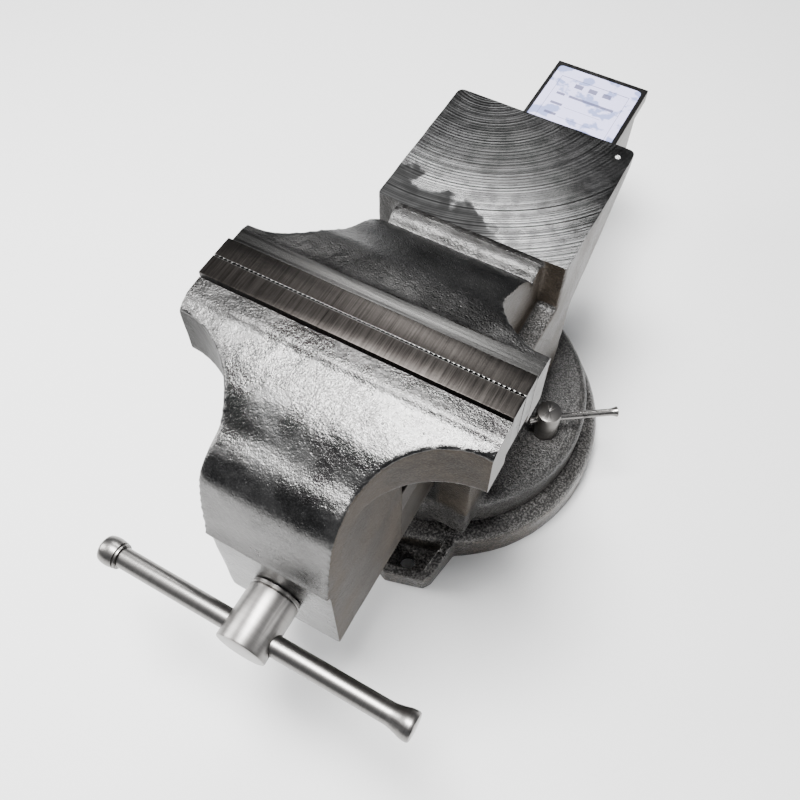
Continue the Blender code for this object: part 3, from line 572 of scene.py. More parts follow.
def silver_casting():
    """Blasted and lacquered grey iron: bright satin with a peel, with a painted warm reflection on its +X
    flanks and painted shade on its -X flanks.
    """
    material, tree, shader, place = new_material("silver_casting")
    grain = use(tree, GRAIN, Position=place["Object"], Grain_Size=0.0011, Pit_Share=0.35)
    flanks = use(tree, FLANK, Normal=place["Normal"], Position=place["Object"])
    flank = flanks["Mask"]
    silver = blend_colour(tree, grain["Cloud"], (0.050, 0.049, 0.048), (0.125, 0.123, 0.121))
    silver = blend_colour(tree, calc(tree, "MULTIPLY", grain["Speckle"], 0.35), silver,
                          (0.20, 0.198, 0.195))
    spot = split(tree, place["Object"])
    band = calc(tree, "MULTIPLY", ramp(tree, spot["Z"], 0.2958, 0.2966),
                ramp(tree, grain["Speckle"], 0.75, 0.25, 0.45, 0.85))
    silver = blend_colour(tree, band, silver, (0.045, 0.044, 0.043))
    # Painted reflection and shade on the upright flanks: a warm brown tint for the warm bounce light, and a
    # dark grey on the -X flanks for their shade.
    painted_flank_light = blend_colour(tree, grain["Cloud"], (0.022, 0.017, 0.013), (0.062, 0.050, 0.039))
    painted_flank_light = blend_colour(tree, calc(tree, "MULTIPLY", grain["Speckle"], 0.35), painted_flank_light,
                        (0.105, 0.085, 0.067))
    painted_flank_light = blend_colour(tree, flanks["Left"], painted_flank_light, (0.028, 0.027, 0.026))
    colour = blend_colour(tree, flank, silver, painted_flank_light)
    rough = calc(tree, "MULTIPLY_ADD", grain["Cloud"], 0.10, 0.23)
    rough = calc(tree, "MULTIPLY_ADD", flank, 0.25, rough)
    set_shader(tree, shader, colour=colour, roughness=rough,
               specular=calc(tree, "MULTIPLY_ADD", flank, -0.4, 0.5),
               metallic=calc(tree, "MULTIPLY_ADD", flank, -0.65, 1.0),
               normal=bump(tree, grain["Height"], 0.00042))
    return material


def body_casting():
    """The fixed body: silver above, black paint on the disc, ledges and housing, with painted shade in the
    saddle behind the jaw, a painted warm reflection on the +X flanks and painted shade on the -X flanks.
    """
    material, tree, shader, place = new_material("body_casting")
    grain = use(tree, GRAIN, Position=place["Object"], Grain_Size=0.0012, Pit_Share=0.5)
    flanks = use(tree, FLANK, Normal=place["Normal"], Position=place["Object"])
    flank = flanks["Mask"]
    spot = split(tree, place["Object"])
    edge = calc(tree, "MULTIPLY_ADD", grain["Cloud"], 0.006, spot["Z"])
    low = ramp(tree, edge, 0.086, 0.078)
    inside = ramp(tree, calc(tree, "ABSOLUTE", spot["X"]), 0.0575, 0.0595)
    ledge = calc(tree, "MULTIPLY", ramp(tree, edge, 0.2045, 0.2015), inside)
    under_anvil = calc(tree, "MULTIPLY", ramp(tree, edge, 0.2385, 0.2365),
                       ramp(tree, spot["Y"], 0.004, 0.0095))
    paint = calc(tree, "MAXIMUM", low, calc(tree, "MULTIPLY", calc(tree, "MAXIMUM", ledge, calc(
        tree, "MULTIPLY", under_anvil, inside)), calc(tree, "SUBTRACT", 1.0, flank)))
    # Painted shade: the saddle between the jaw head and the anvil is darkened to a smoke grey.
    saddle = calc(tree, "MULTIPLY", ramp(tree, spot["Z"], 0.2990, 0.2980),
                  ramp(tree, spot["Y"], -0.008, -0.014))
    silver = blend_colour(tree, grain["Cloud"], (0.050, 0.049, 0.048), (0.125, 0.123, 0.121))
    painted_saddle_shade = blend_colour(tree, grain["Cloud"], (0.012, 0.0117, 0.0114), (0.040, 0.039, 0.038))
    silver = blend_colour(tree, calc(tree, "MULTIPLY", saddle, 0.85), silver, painted_saddle_shade)
    # Painted reflection and shade on the upright flanks: a warm brown tint for the warm bounce light, and a
    # dark grey on the -X flanks for their shade.
    painted_flank_light = blend_colour(tree, grain["Cloud"], (0.020, 0.016, 0.012), (0.056, 0.045, 0.035))
    painted_flank_light = blend_colour(tree, calc(tree, "MULTIPLY", grain["Speckle"], 0.35), painted_flank_light,
                        (0.095, 0.077, 0.061))
    painted_flank_light = blend_colour(tree, flanks["Left"], painted_flank_light, (0.028, 0.027, 0.026))
    colour = blend_colour(tree, flank, silver, painted_flank_light)
    black = blend_colour(tree, grain["Speckle"], (0.010, 0.0095, 0.009), (0.12, 0.115, 0.110))
    colour = blend_colour(tree, paint, colour, black)
    rough = calc(tree, "MULTIPLY_ADD", grain["Cloud"], 0.12, 0.28)
    metallic = calc(tree, "MULTIPLY_ADD", flank, -0.65, 1.0)
    metallic = calc(tree, "MULTIPLY", metallic, calc(tree, "MULTIPLY_ADD", paint, -0.85, 1.0))
    set_shader(tree, shader, colour=colour, roughness=rough, metallic=metallic,
               specular=calc(tree, "MULTIPLY_ADD", flank, -0.4, 0.5),
               normal=bump(tree, grain["Height"], 0.0008))
    return material


def black_casting():
    """Semi-gloss black paint over sandy iron, rubbed thin on the grain's tips, with a painted warm
    reflection on its upright walls.
    """
    material, tree, shader, place = new_material("black_painted_casting")
    grain = use(tree, GRAIN, Position=place["Object"], Grain_Size=0.0016, Pit_Share=0.6)
    black = blend_colour(tree, grain["Speckle"], (0.020, 0.019, 0.018), (0.15, 0.143, 0.136))
    # Painted reflection: the upright walls are tinted warm brown.
    painted_wall_reflection = blend_colour(tree, grain["Speckle"], (0.026, 0.021, 0.016), (0.17, 0.140, 0.112))
    parts = split(tree, place["Normal"])
    wall = calc(tree, "MULTIPLY", ramp(tree, parts["Z"], 0.5, 0.1), grain["Cloud"])
    set_shader(tree, shader, colour=blend_colour(tree, wall, black, painted_wall_reflection),
               roughness=calc(tree, "MULTIPLY_ADD", grain["Cloud"], 0.15, 0.26), metallic=0.5,
               normal=bump(tree, grain["Height"], 0.0008))
    return material


def ground_iron(name, stretch, dark, light, rough, painted_flank_light=True, pale_seam_line=False):
    """Machined cast iron with the cutter's lines along one direction, and optionally a painted warm
    reflection on its upright flanks.
    """
    material, tree, shader, place = new_material(name)
    lines = use(tree, LINES, Position=place["Object"], Stretch=stretch)
    contrast = ramp(tree, lines["Tone"], 0.30, 0.70)
    colour = blend_colour(tree, contrast, dark, light)
    # A pale line along the top of the gripping face at the seam.
    if pale_seam_line:
        spot = split(tree, place["Object"])
        away = calc(tree, "ABSOLUTE", calc(tree, "SUBTRACT", spot["Y"], SEAM_Y))
        edge = calc(tree, "MULTIPLY", ramp(tree, away, 0.0010, 0.0006),
                    ramp(tree, spot["Z"], JAW_TOP - 0.0012, JAW_TOP - 0.0008))
        colour = blend_colour(tree, edge, colour, (0.13, 0.127, 0.124))
    colour = blend_colour(tree, calc(tree, "MULTIPLY", lines["Deep"], 0.5), colour,
                          tuple(0.4 * c for c in dark))
    metallic = 1.0
    # Painted reflection: the upright flanks get a warm beige tint.
    if painted_flank_light:
        flank = use(tree, FLANK, Normal=place["Normal"], Position=place["Object"])["Mask"]
        grain = use(tree, GRAIN, Position=place["Object"], Grain_Size=0.0010, Pit_Share=0.4)
        beige = blend_colour(tree, grain["Speckle"], (0.024, 0.019, 0.015), (0.088, 0.072, 0.057))
        beige = blend_colour(tree, calc(tree, "MULTIPLY", grain["Cloud"], 0.6), beige,
                             (0.022, 0.018, 0.015))
        colour = blend_colour(tree, flank, colour, beige)
        metallic = calc(tree, "MULTIPLY_ADD", flank, -0.6, 1.0)
    set_shader(tree, shader, colour=colour, metallic=metallic,
               roughness=calc(tree, "MULTIPLY_ADD", lines["Tone"], 0.16, rough - 0.08),
               normal=bump(tree, lines["Height"], 0.00006))
    return material


def anvil_face():
    """Face-milled anvil: arcs about a far corner, dark stains, painted shade towards the rear and a corner
    stake mark.
    """
    material, tree, shader, place = new_material("anvil_milled")
    arcs = use(tree, ARCS, Position=place["Object"], Centre=(-0.055, 0.165, ANVIL_TOP),
               Pitch=0.0014)
    cloud = put(tree, "ShaderNodeTexNoise", {"Vector": place["Object"], "Scale": 38.0,
                                             "Detail": 3.0}).outputs[0]
    spot = split(tree, place["Object"])
    edge = calc(tree, "MULTIPLY_ADD", cloud, -0.085, calc(tree, "MULTIPLY_ADD", spot["X"], 0.30,
                                                          spot["Y"]))
    stain = calc(tree, "MULTIPLY", ramp(tree, edge, -0.016, -0.024),
                 ramp(tree, spot["X"], 0.030, 0.0, 0.0, 0.75))
    colour = blend_colour(tree, arcs["Tone"], (0.010, 0.010, 0.010), (0.13, 0.13, 0.13))
    # Painted shade: the top darkens towards its rear.
    painted_rear_shade = blend_colour(tree, arcs["Tone"], (0.003, 0.003, 0.003), (0.030, 0.030, 0.030))
    colour = blend_colour(tree, ramp(tree, spot["Y"], 0.018, 0.090), colour, painted_rear_shade)
    colour = blend_colour(tree, calc(tree, "MULTIPLY", stain, 0.85), colour, (0.012, 0.012, 0.012))
    to_mark = put(tree, "ShaderNodeVectorMath", {0: place["Object"],
                                                 1: (*STAKE_SPOT, ANVIL_TOP)},
                  operation="DISTANCE").outputs["Value"]
    colour = blend_colour(tree, ramp(tree, to_mark, 0.0022, 0.0019), colour, (0.8, 0.8, 0.78))
    set_shader(tree, shader, colour=colour, metallic=1.0,
               roughness=calc(tree, "MULTIPLY_ADD", stain, 0.45,
                              calc(tree, "MULTIPLY_ADD", arcs["Tone"], 0.06, 0.20)),
               normal=bump(tree, arcs["Height"], 0.00010))
    return material


def turned_steel(name, axis, dark, light, rough):
    """Bright turned steel: fine rings about the piece's axis and faint lengthwise wear."""
    stretch = {"X": (1500.0, 30.0, 30.0), "Y": (30.0, 1500.0, 30.0), "Z": (30.0, 30.0, 1500.0)}
    wear = {"X": (25.0, 260.0, 260.0), "Y": (260.0, 25.0, 260.0), "Z": (260.0, 260.0, 25.0)}
    material, tree, shader, place = new_material(name)
    rings = use(tree, LINES, Position=place["Object"], Stretch=stretch[axis])
    rub = use(tree, LINES, Position=place["Object"], Stretch=wear[axis])
    colour = blend_colour(tree, rings["Tone"], dark, light)
    colour = blend_colour(tree, calc(tree, "MULTIPLY", rub["Deep"], 0.45), colour,
                          tuple(0.45 * c for c in dark))
    set_shader(tree, shader, colour=colour, metallic=1.0,
               roughness=calc(tree, "MULTIPLY_ADD", rub["Tone"], 0.2, rough - 0.08),
               normal=bump(tree, rings["Height"], 0.00003))
    return material


def black_oxide():
    """Oiled black-oxide steel of the screws and small rings."""
    material, tree, shader, place = new_material("black_oxide")
    grain = use(tree, GRAIN, Position=place["Object"], Grain_Size=0.0007, Pit_Share=0.2)
    colour = blend_colour(tree, grain["Speckle"], (0.035, 0.034, 0.034), (0.10, 0.095, 0.09))
    set_shader(tree, shader, colour=colour, metallic=0.9,
               roughness=calc(tree, "MULTIPLY_ADD", grain["Cloud"], 0.2, 0.28),
               normal=bump(tree, grain["Height"], 0.00008))
    return material


def bronze():
    """Sawn and bored bronze of the nut."""
    material, tree, shader, place = new_material("nut_bronze_worn")
    lines = use(tree, LINES, Position=place["Object"], Stretch=(60.0, 60.0, 900.0))
    grain = use(tree, GRAIN, Position=place["Object"], Grain_Size=0.002, Pit_Share=0.4)
    colour = blend_colour(tree, lines["Tone"], (0.36, 0.22, 0.09), (0.62, 0.42, 0.20))
    colour = blend_colour(tree, calc(tree, "MULTIPLY", grain["Cloud"], 0.5), colour,
                          (0.20, 0.13, 0.07))
    set_shader(tree, shader, colour=colour, metallic=1.0,
               roughness=calc(tree, "MULTIPLY_ADD", grain["Cloud"], 0.2, 0.30),
               normal=bump(tree, lines["Height"], 0.0001))
    return material


# ---------------------------------------------------------------- castings

def tee_plan(direction, head_face, flare, end_y, over=0.0):
    """Plan of a T-shaped jaw: a wide head whose ends sweep in to the stem by quarter circles."""
    head_y = SEAM_Y + direction * head_face
    centre_y = head_y + direction * flare
    sweep = [(x, centre_y + direction * (y - centre_y))
             for x, y in arc((JAW_HALF, centre_y), flare, 270, 180, 40)]
    right = [(JAW_HALF + over, SEAM_Y - direction * 0.01), (JAW_HALF + over, sweep[0][1]), *sweep,
             (JAW_HALF - flare, end_y)]
    return right + [(-x, y) for x, y in reversed(right)]


MACHINED_OVER = 0.004


def tip_wedge(side):
    """Wedge that slopes the dome down towards the tip of the head."""
    outer = [(-0.1572, 0.312), (-0.1572, 0.2966), (-0.1745, 0.2825), (-0.1745, 0.312)]
    inner = [(-0.1900, 0.2900), (-0.1910, 0.2960)]
    shape = bmesh.new()
    for x, corners in ((0.106, outer), (0.055, inner)):
        for y, z in corners:
            shape.verts.new((side * x, y, z))
    bmesh.ops.convex_hull(shape, input=list(shape.verts))
    bmesh.ops.recalc_face_normals(shape, faces=shape.faces)
    return from_bmesh("tip_wedge", shape)


def moving_jaw_casting():
    """Head and box of the moving jaw with its long channel slide."""
    dome = smooth_line([(BAND_END, 0.0050), (BAND_END + 0.0027, 0.0069), (0.046, 0.0106),
                        (0.061, 0.0155), (0.072, 0.0215), (0.081, 0.0270), (0.091, 0.0312),
                        (0.099, 0.0365), (0.1075, 0.0455),
                        (0.112, 0.059), (0.1155, 0.075), (0.1185, 0.095), (0.1205, 0.1000)], 5)
    box_end = 0.030
    outline = from_seam(-1, [(0.0, HEAD_HEIGHT), (0.0, PLATE_PROUD), (PLATE_BACK, PLATE_PROUD),
                             *dome, (0.117, 0.1035), (0.117, JAW_TOP - SLIDE_BOTTOM),
                             (box_end, JAW_TOP - SLIDE_BOTTOM), (box_end, HEAD_HEIGHT)])
    plan = prism("plan", "XY", tee_plan(-1, MOVING_HEAD_FACE, MOVING_FLARE, FRONT_Y - 0.02,
                                        MACHINED_OVER), HEAD_BOTTOM, JAW_TOP + 0.01)
    half = SLIDE_HALF + BOX_SKIN
    strip = block("strip", (-half, FRONT_Y - 0.02, 0.09), (half, SEAM_Y, JAW_TOP + 0.005))
    combine(plan, "UNION", strip)
    body = prism("moving_jaw_casting", "YZ", outline, -0.12, 0.12)
    combine(body, "INTERSECT", plan)
    for side in (-1, 1):
        combine(body, "DIFFERENCE", tip_wedge(side))
    cast_skin(body, 0.0016, 5)
    seat_y = SEAM_Y - PLATE_BACK
    cut(body, block("seat", (-0.13, seat_y, 0.05), (0.13, 0.0, 0.33)))
    for side in (-1, 1):
        inner, outer = sorted((side * JAW_HALF, side * 0.13))
        cut(body, block("end", (inner, -0.3, 0.1), (outer, 0.0, 0.33)))
    slide = prism("slide", "YZ", [(seat_y - 0.02, SLIDE_BOTTOM), (LEGS_END_Y, SLIDE_BOTTOM),
                                  (LEGS_END_Y, CHANNEL_TOP), (TAIL_Y, CHANNEL_TOP),
                                  (TAIL_Y, SLIDE_TOP), (seat_y - 0.02, SLIDE_TOP)],
                  -SLIDE_HALF, SLIDE_HALF)
    bevelled(slide, SLIDE_EDGE)
    combine(body, "UNION", slide, "MANIFOLD")
    step = block("step", (-0.13, SEAM_Y - JAW_RELIEF, SLIDE_TOP + 0.0001),
                 (0.13, -0.1, HEAD_BOTTOM + 0.011))
    cut(body, step)
    channel = block("channel", (-CHANNEL_HALF, FRONT_Y + FRONT_WALL, 0.08),
                    (CHANNEL_HALF, TAIL_Y + 0.02, CHANNEL_TOP))
    cut(body, channel)
    bore = rod("bore", "Y", SCREW_RADIUS + 0.0004, (0.0, FRONT_Y - 0.01, SCREW_AXIS), 0.05, ROUND)
    cut(body, bore)
    for side in (-1, 1):
        hole = rod("hole", "-Y", SCREW_HOLE_RADIUS, (side * SCREW_SPREAD, SEAM_Y, JAW_TOP - SCREW_DROP),
                   SCREW_HOLE_DEPTH)
        cut(body, hole)
    zones = [(2, SLIDE_TOP, 1), (0, SLIDE_HALF, 1), (0, -SLIDE_HALF, 1), (1, TAIL_Y, 1),
             (0, JAW_HALF, 2), (0, -JAW_HALF, 2), (1, seat_y, 2)]
    return finished(body, "moving_jaw", ["moving_jaw_body"],
                    [SILVER, SLIDE_IRON, GROUND], zones=zones)


def neck_outline():
    """Side outline of the fixed jaw's head, saddle and the roll in front of the anvil."""
    roll = (0.1352, JAW_TOP - ANVIL_TOP + 0.0100)
    saddle = smooth_line([(BAND_END - 0.002, 0.0036), (BAND_END + 0.0015, 0.0054),
                          (0.045, 0.0080), (0.057, 0.0122), (0.068, 0.0200), (0.080, 0.0285),
                          (0.100, 0.0405), (0.116, 0.0545),
                          (roll[0] - ROLL_RADIUS - 0.002, 0.0690)], 5)
    bulge = [(roll[0] + ROLL_RADIUS * math.cos(a), roll[1] - ROLL_RADIUS * math.sin(a))
             for a in (math.radians(d) for d in range(184, 10, -12))]
    foot = JAW_TOP - HOUSING_LEDGE + 0.008
    front = HOUSING_FRONT_Y - SEAM_Y
    points = [(0.0, HEAD_HEIGHT), (0.0, PLATE_PROUD), (PLATE_BACK, PLATE_PROUD), *saddle, *bulge,
              (0.162, roll[1]), (0.162, foot), (front, foot), (front, HEAD_HEIGHT)]
    return from_seam(1, points)


def fixed_neck():
    neck_end = ANVIL_FRONT_Y + 0.03
    plan = prism("neck_plan", "XY", tee_plan(1, FIXED_HEAD_FACE, FIXED_FLARE, neck_end,
                                             MACHINED_OVER), HEAD_BOTTOM, JAW_TOP + 0.01)
    strip = block("neck_strip", (-NECK_HALF, SEAM_Y - 0.005, 0.1),
                  (NECK_HALF, neck_end - 0.005, JAW_TOP + 0.005))
    combine(plan, "UNION", strip)
    neck = prism("neck", "YZ", neck_outline(), -0.12, 0.12)
    return combine(neck, "INTERSECT", plan)


def fixed_jaw_casting():
    """Fixed jaw, anvil, slide housing and swivel disc, all in one casting."""
    raised = ANVIL_TOP + MACHINED_OVER
    side = [(HOUSING_FRONT_Y, DISC_BOTTOM + 0.01), (HOUSING_REAR_Y, DISC_BOTTOM + 0.01),
            (HOUSING_REAR_Y + 0.006, GUSSET_FOOT), (ANVIL_REAR_Y, ANVIL_TOP - ANVIL_EDGE),
            (ANVIL_REAR_Y, raised), (ANVIL_FRONT_Y, raised), (ANVIL_FRONT_Y, HOUSING_LEDGE),
            (HOUSING_FRONT_Y, HOUSING_LEDGE)]
    body = prism("fixed_jaw_casting", "YZ", side, -0.09, 0.09)
    half, corner = HOUSING_HALF, ANVIL_CORNER
    limits = prism("limits", "XY", [(-half, HOUSING_FRONT_Y - 0.01), (half, HOUSING_FRONT_Y - 0.01),
                                    (half, ANVIL_REAR_Y - corner), (half - corner, ANVIL_REAR_Y),
                                    (corner - half, ANVIL_REAR_Y), (-half, ANVIL_REAR_Y - corner)],
                   0.0, JAW_TOP)
    combine(body, "INTERSECT", limits)
    combine(body, "UNION", fixed_neck())
    rim = arc((DISC_RADIUS - DISC_ROUNDING, DISC_TOP - DISC_ROUNDING), DISC_ROUNDING, 90, 0, 10)
    disc = lathe("disc", [(0.0, DISC_TOP), *rim, (DISC_RADIUS, DISC_BOTTOM - MACHINED_OVER),
                          (0.0, DISC_BOTTOM - MACHINED_OVER)], 160)
    combine(body, "UNION", disc)
    cast_skin(body, 0.0020, 4)
    flat = block("flat", (-0.1, ANVIL_FRONT_Y - 0.02, ANVIL_TOP), (0.1, 0.2, 0.30))
    cut(body, flat)
    under = block("under", (-0.2, -0.2, 0.0), (0.2, 0.2, DISC_BOTTOM))
    cut(body, under)
    seat_y = SEAM_Y + PLATE_BACK
    cut(body, block("seat", (-0.13, -0.3, 0.24), (0.13, seat_y, 0.33)))
    band = block("band", (-0.13, -0.3, BAND_Z), (0.13, SEAM_Y + BAND_END, 0.33))
    cut(body, band)
    for direction in (-1, 1):
        inner, outer = sorted((direction * JAW_HALF, direction * 0.13))
        end = block("end", (inner, -0.3, 0.2), (outer, 0.0, 0.33))
        cut(body, end)
    spigot = rod("spigot", "Z", SPIGOT_RADIUS, (0.0, 0.0, DISC_UNDER), 0.03, ROUND)
    combine(body, "UNION", spigot, "MANIFOLD")
    tunnel = block("tunnel", (-TUNNEL_HALF, -0.16, TUNNEL_FLOOR), (TUNNEL_HALF, 0.2, TUNNEL_TOP))
    cut(body, tunnel)
    for direction in (-1, 1):
        bolt = rod("bolt_hole", "Z", LOCK_HOLE_RADIUS, (direction * LOCK_SPREAD, LOCK_Y, 0.0), 0.1)
        cut(body, bolt)
        boss = rod("spot_face", "Z", LOCK_SPOT_RADIUS,
                   (direction * LOCK_SPREAD, LOCK_Y, DISC_TOP - 0.0004), 0.05)
        cut(body, boss)
        start = (direction * SCREW_SPREAD, SEAM_Y, JAW_TOP - SCREW_DROP)
        cut(body, rod("hole", "Y", SCREW_HOLE_RADIUS, start, SCREW_HOLE_DEPTH))
    cut(body, rod("nut_bolt_hole", "Z", NUT_BOLT_HOLE_RADIUS, (0.0, NUT_Y, 0.0), 0.12))
    cut(body, rod("sink", "Z", NUT_BOLT_SINK_RADIUS, (0.0, NUT_Y, 0.0),
                  NUT_BOLT_SINK_DEPTH))
    zones = [(2, ANVIL_TOP, 1), (0, JAW_HALF, 2), (0, -JAW_HALF, 2), (1, seat_y, 2),
             (2, TUNNEL_TOP, 2), (2, TUNNEL_FLOOR, 2), (0, TUNNEL_HALF, 2), (0, -TUNNEL_HALF, 2),
             (2, DISC_BOTTOM, 2), (2, BAND_Z, 3)]
    return finished(body, "swivel_body", ["fixed_jaw_body"],
                    [BODY, ANVIL, GROUND, BAND], zones=zones)


def lug():
    """One mounting lug along +X: two tapered ribs beside a pocket; the base cuts its bolt hole."""
    outline = [(BASE_RECESS + 0.002, -0.036), (0.127, -0.036), (0.158, -0.022), (LUG_REACH, -0.016)]
    outline += [(x, -y) for x, y in reversed(outline)]
    shape = prism("lug", "XY", outline, -MACHINED_OVER, 0.031)
    slope = prism("slope", "XZ", [(0.10, 0.031), (BASE_RADIUS, 0.031), (0.164, 0.019), (0.164, -0.01),
                                  (0.10, -0.01)], -0.06, 0.06)
    combine(shape, "INTERSECT", slope)
    pocket = prism("pocket", "XY", [(0.130, -0.027), (0.156, -0.014), (0.156, 0.014), (0.130, 0.027)],
                   LUG_FLOOR, 0.06)
    return combine(shape, "DIFFERENCE", pocket)


def base_casting():
    """Lower ring with a rounded shoulder and its two lugs."""
    shoulder = [(BASE_SHOULDER + (BASE_RADIUS - BASE_SHOULDER) * math.cos(a),
                 BASE_TOP - BASE_SHOULDER_DROP * (1.0 - math.sin(a)))
                for a in (math.radians(d) for d in range(90, -1, -9))]
    over = MACHINED_OVER
    ring = lathe("base_casting", [(BASE_BORE - over, BASE_TOP), *shoulder, (BASE_RADIUS, -over),
                                  (BASE_RECESS - over, -over), (BASE_RECESS - over, 0.018),
                                  (BASE_BORE - over, 0.018)], 160, closed=True)
    for index in range(2):
        shape = lug()
        shape.data.transform(Matrix.Rotation(LUG_ANGLE - math.pi / 2 + index * math.pi, 4, "Z"))
        combine(ring, "UNION", shape)
    cast_skin(ring, 0.0014, 4)
    cut(ring, block("floor", (-0.2, -0.2, -0.02), (0.2, 0.2, 0.0)))
    cut(ring, rod("bore", "Z", BASE_BORE, (0.0, 0.0, -0.01), 0.07, 160))
    recess = rod("recess", "Z", BASE_RECESS, (0.0, 0.0, -0.01), BASE_FLANGE_BOTTOM + 0.01, 160)
    cut(ring, recess)
    for index in range(2):
        angle = LUG_ANGLE - math.pi / 2 + index * math.pi
        centre = (LUG_HOLE_DISTANCE * math.cos(angle), LUG_HOLE_DISTANCE * math.sin(angle), -0.01)
        cut(ring, rod("hole", "Z", LUG_HOLE_RADIUS, centre, 0.06))
    return finished(ring, "root", ["swivel_base"], [BLACK])


def clamp_ring():
    profile = [(0.040, CLAMP_TOP), (0.1132, CLAMP_TOP), (0.114, CLAMP_TOP - 0.0008),
               (0.114, 0.0090), (0.1132, 0.0082), (0.040, 0.0082)]
    ring = lathe("clamp_ring", profile, ROUND, closed=True)
    for side in (-1, 1):
        hole = rod("hole", "Z", LOCK_HOLE_RADIUS, (side * LOCK_SPREAD, LOCK_Y, 0.0), 0.05)
        combine(ring, "DIFFERENCE", hole)
    return finished(ring, "swivel_body", ["clamp_disc"], [BLACK])


# ---------------------------------------------------------------- repeating shapes

def geometry_group(name, inputs):
    """A Geometry Nodes group with a geometry in and out, and named settings."""
    tree = bpy.data.node_groups.new(name, "GeometryNodeTree")
    tree.interface.new_socket("Geometry", in_out="INPUT", socket_type="NodeSocketGeometry")
    tree.interface.new_socket("Geometry", in_out="OUTPUT", socket_type="NodeSocketGeometry")
    for label, kind, value in inputs:
        socket = tree.interface.new_socket(label, in_out="INPUT", socket_type=kind)
        if value is not None:
            socket.default_value = value
    return tree, tree.nodes.new("NodeGroupInput").outputs, tree.nodes.new("NodeGroupOutput")


def end_group(tree, inp, out, geometry):
    """Close a group with real geometry in its material."""
    real = put(tree, "GeometryNodeRealizeInstances", {0: geometry}).outputs[0]
    made = put(tree, "GeometryNodeSetMaterial", {"Geometry": real, "Material": inp["Material"]})
    tree.links.new(made.outputs[0], out.inputs[0])
    return tree


def helix_group():
    """Sweeps the object's own closed outline along a helix about Z."""
    tree, inp, out = geometry_group("helix", [
        ("Radius", FLOAT, 0.01), ("Pitch", FLOAT, 0.006), ("Turns", FLOAT, 10.0),
        ("Steps", "NodeSocketInt", 48), ("Material", "NodeSocketMaterial", None)])
    outline = put(tree, "GeometryNodeMeshToCurve", {0: inp["Geometry"]}).outputs[0]
    height = calc(tree, "MULTIPLY", inp["Pitch"], inp["Turns"])
    spiral = put(tree, "GeometryNodeCurveSpiral", {
        "Resolution": inp["Steps"], "Rotations": inp["Turns"], "Start Radius": inp["Radius"],
        "End Radius": inp["Radius"], "Height": height}).outputs[0]
    upright = put(tree, "GeometryNodeSetCurveNormal", {0: spiral}, mode="Z_UP").outputs[0]
    swept = put(tree, "GeometryNodeCurveToMesh", {"Curve": upright, "Profile Curve": outline,
                                                  "Fill Caps": True}).outputs[0]
    return end_group(tree, inp, out, swept)


def serration_group():
    """A slab whose front face is covered with small pyramids between crossed grooves."""
    tree, inp, out = geometry_group("serrated_slab", [
        ("Size", VECTOR, (0.2, 0.04, 0.015)), ("Pitch", FLOAT, SERRATION_PITCH),
        ("Depth", FLOAT, SERRATION_DEPTH), ("Step", FLOAT, SERRATION_STEP),
        ("Material", "NodeSocketMaterial", None)])
    size = split(tree, inp["Size"])
    across = calc(tree, "ROUND", calc(tree, "DIVIDE", size[0], inp["Step"]))
    upward = calc(tree, "ROUND", calc(tree, "DIVIDE", size[1], inp["Step"]))
    slab = put(tree, "GeometryNodeMeshCube", {"Size": inp["Size"], "Vertices X": across,
                                              "Vertices Y": upward, "Vertices Z": 2}).outputs[0]
    place = put(tree, "GeometryNodeInputPosition").outputs[0]
    spot = split(tree, place)
    waves = []
    for operation in ("ADD", "SUBTRACT"):
        diagonal = calc(tree, operation, spot[0], spot[1])
        waves.append(calc(tree, "PINGPONG", diagonal, calc(tree, "MULTIPLY", inp["Pitch"], 0.5)))
    lower = calc(tree, "MINIMUM", *waves)
    share = calc(tree, "DIVIDE", lower, calc(tree, "MULTIPLY", inp["Pitch"], 0.25))
    groove = calc(tree, "SUBTRACT", 1.0, calc(tree, "MINIMUM", share, 1.0))
    front = calc(tree, "GREATER_THAN", spot[2], 0.0)
    drop = calc(tree, "MULTIPLY", calc(tree, "MULTIPLY", groove, inp["Depth"]), -1.0)
    offset = put(tree, "ShaderNodeCombineXYZ", {"Z": drop}).outputs[0]
    cut = put(tree, "GeometryNodeSetPosition", {"Geometry": slab, "Selection": front,
                                                "Offset": offset}).outputs[0]
    return end_group(tree, inp, out, cut)


def scatter_group():
    """Places one shape at every point of the object's own mesh."""
    tree, inp, out = geometry_group("copies", [
        ("Shape", "NodeSocketObject", None), ("Turn", "NodeSocketRotation", None),
        ("Material", "NodeSocketMaterial", None)])
    shape = put(tree, "GeometryNodeObjectInfo", {"Object": inp["Shape"]}).outputs["Geometry"]
    points = put(tree, "GeometryNodeMeshToPoints", {0: inp["Geometry"]}).outputs[0]
    copies = put(tree, "GeometryNodeInstanceOnPoints", {"Points": points, "Instance": shape,
                                                        "Rotation": inp["Turn"]}).outputs[0]
    return end_group(tree, inp, out, copies)


def grown(name, points, group, material, edges=(), **settings):
    """Run a Geometry Nodes group on a small guide mesh and keep the result as a plain mesh."""
    guide = bpy.data.meshes.new(name)
    guide.from_pydata(points, edges, [])
    obj = mesh_object(name, guide)
    modifier = obj.modifiers.new("Grow", "NODES")
    modifier.node_group = group
    values = {key.replace("_", " "): value for key, value in settings.items()}
    values["Material"] = material
    for item in group.interface.items_tree:
        if item.item_type == "SOCKET" and item.in_out == "INPUT" and item.name in values:
            modifier[item.identifier] = values[item.name]
    return settle(obj)


def ring_edges(count):
    return [(k, (k + 1) % count) for k in range(count)]


# ---------------------------------------------------------------- plates and their screws

def countersink(name, clearance):
    face = -0.0006 if clearance == 0 else 0.003
    head, shank, end = 0.008 + clearance, 0.004 + clearance, -0.027 - 20 * clearance
    profile = [(0.0, face), (head - 0.0003, face), (head, face - 0.0003), (head, -0.0016),
               (shank, -0.0016 - (head - shank)), (shank, end), (0.0, end)]
    return lathe(name, profile, SMALL_ROUND)


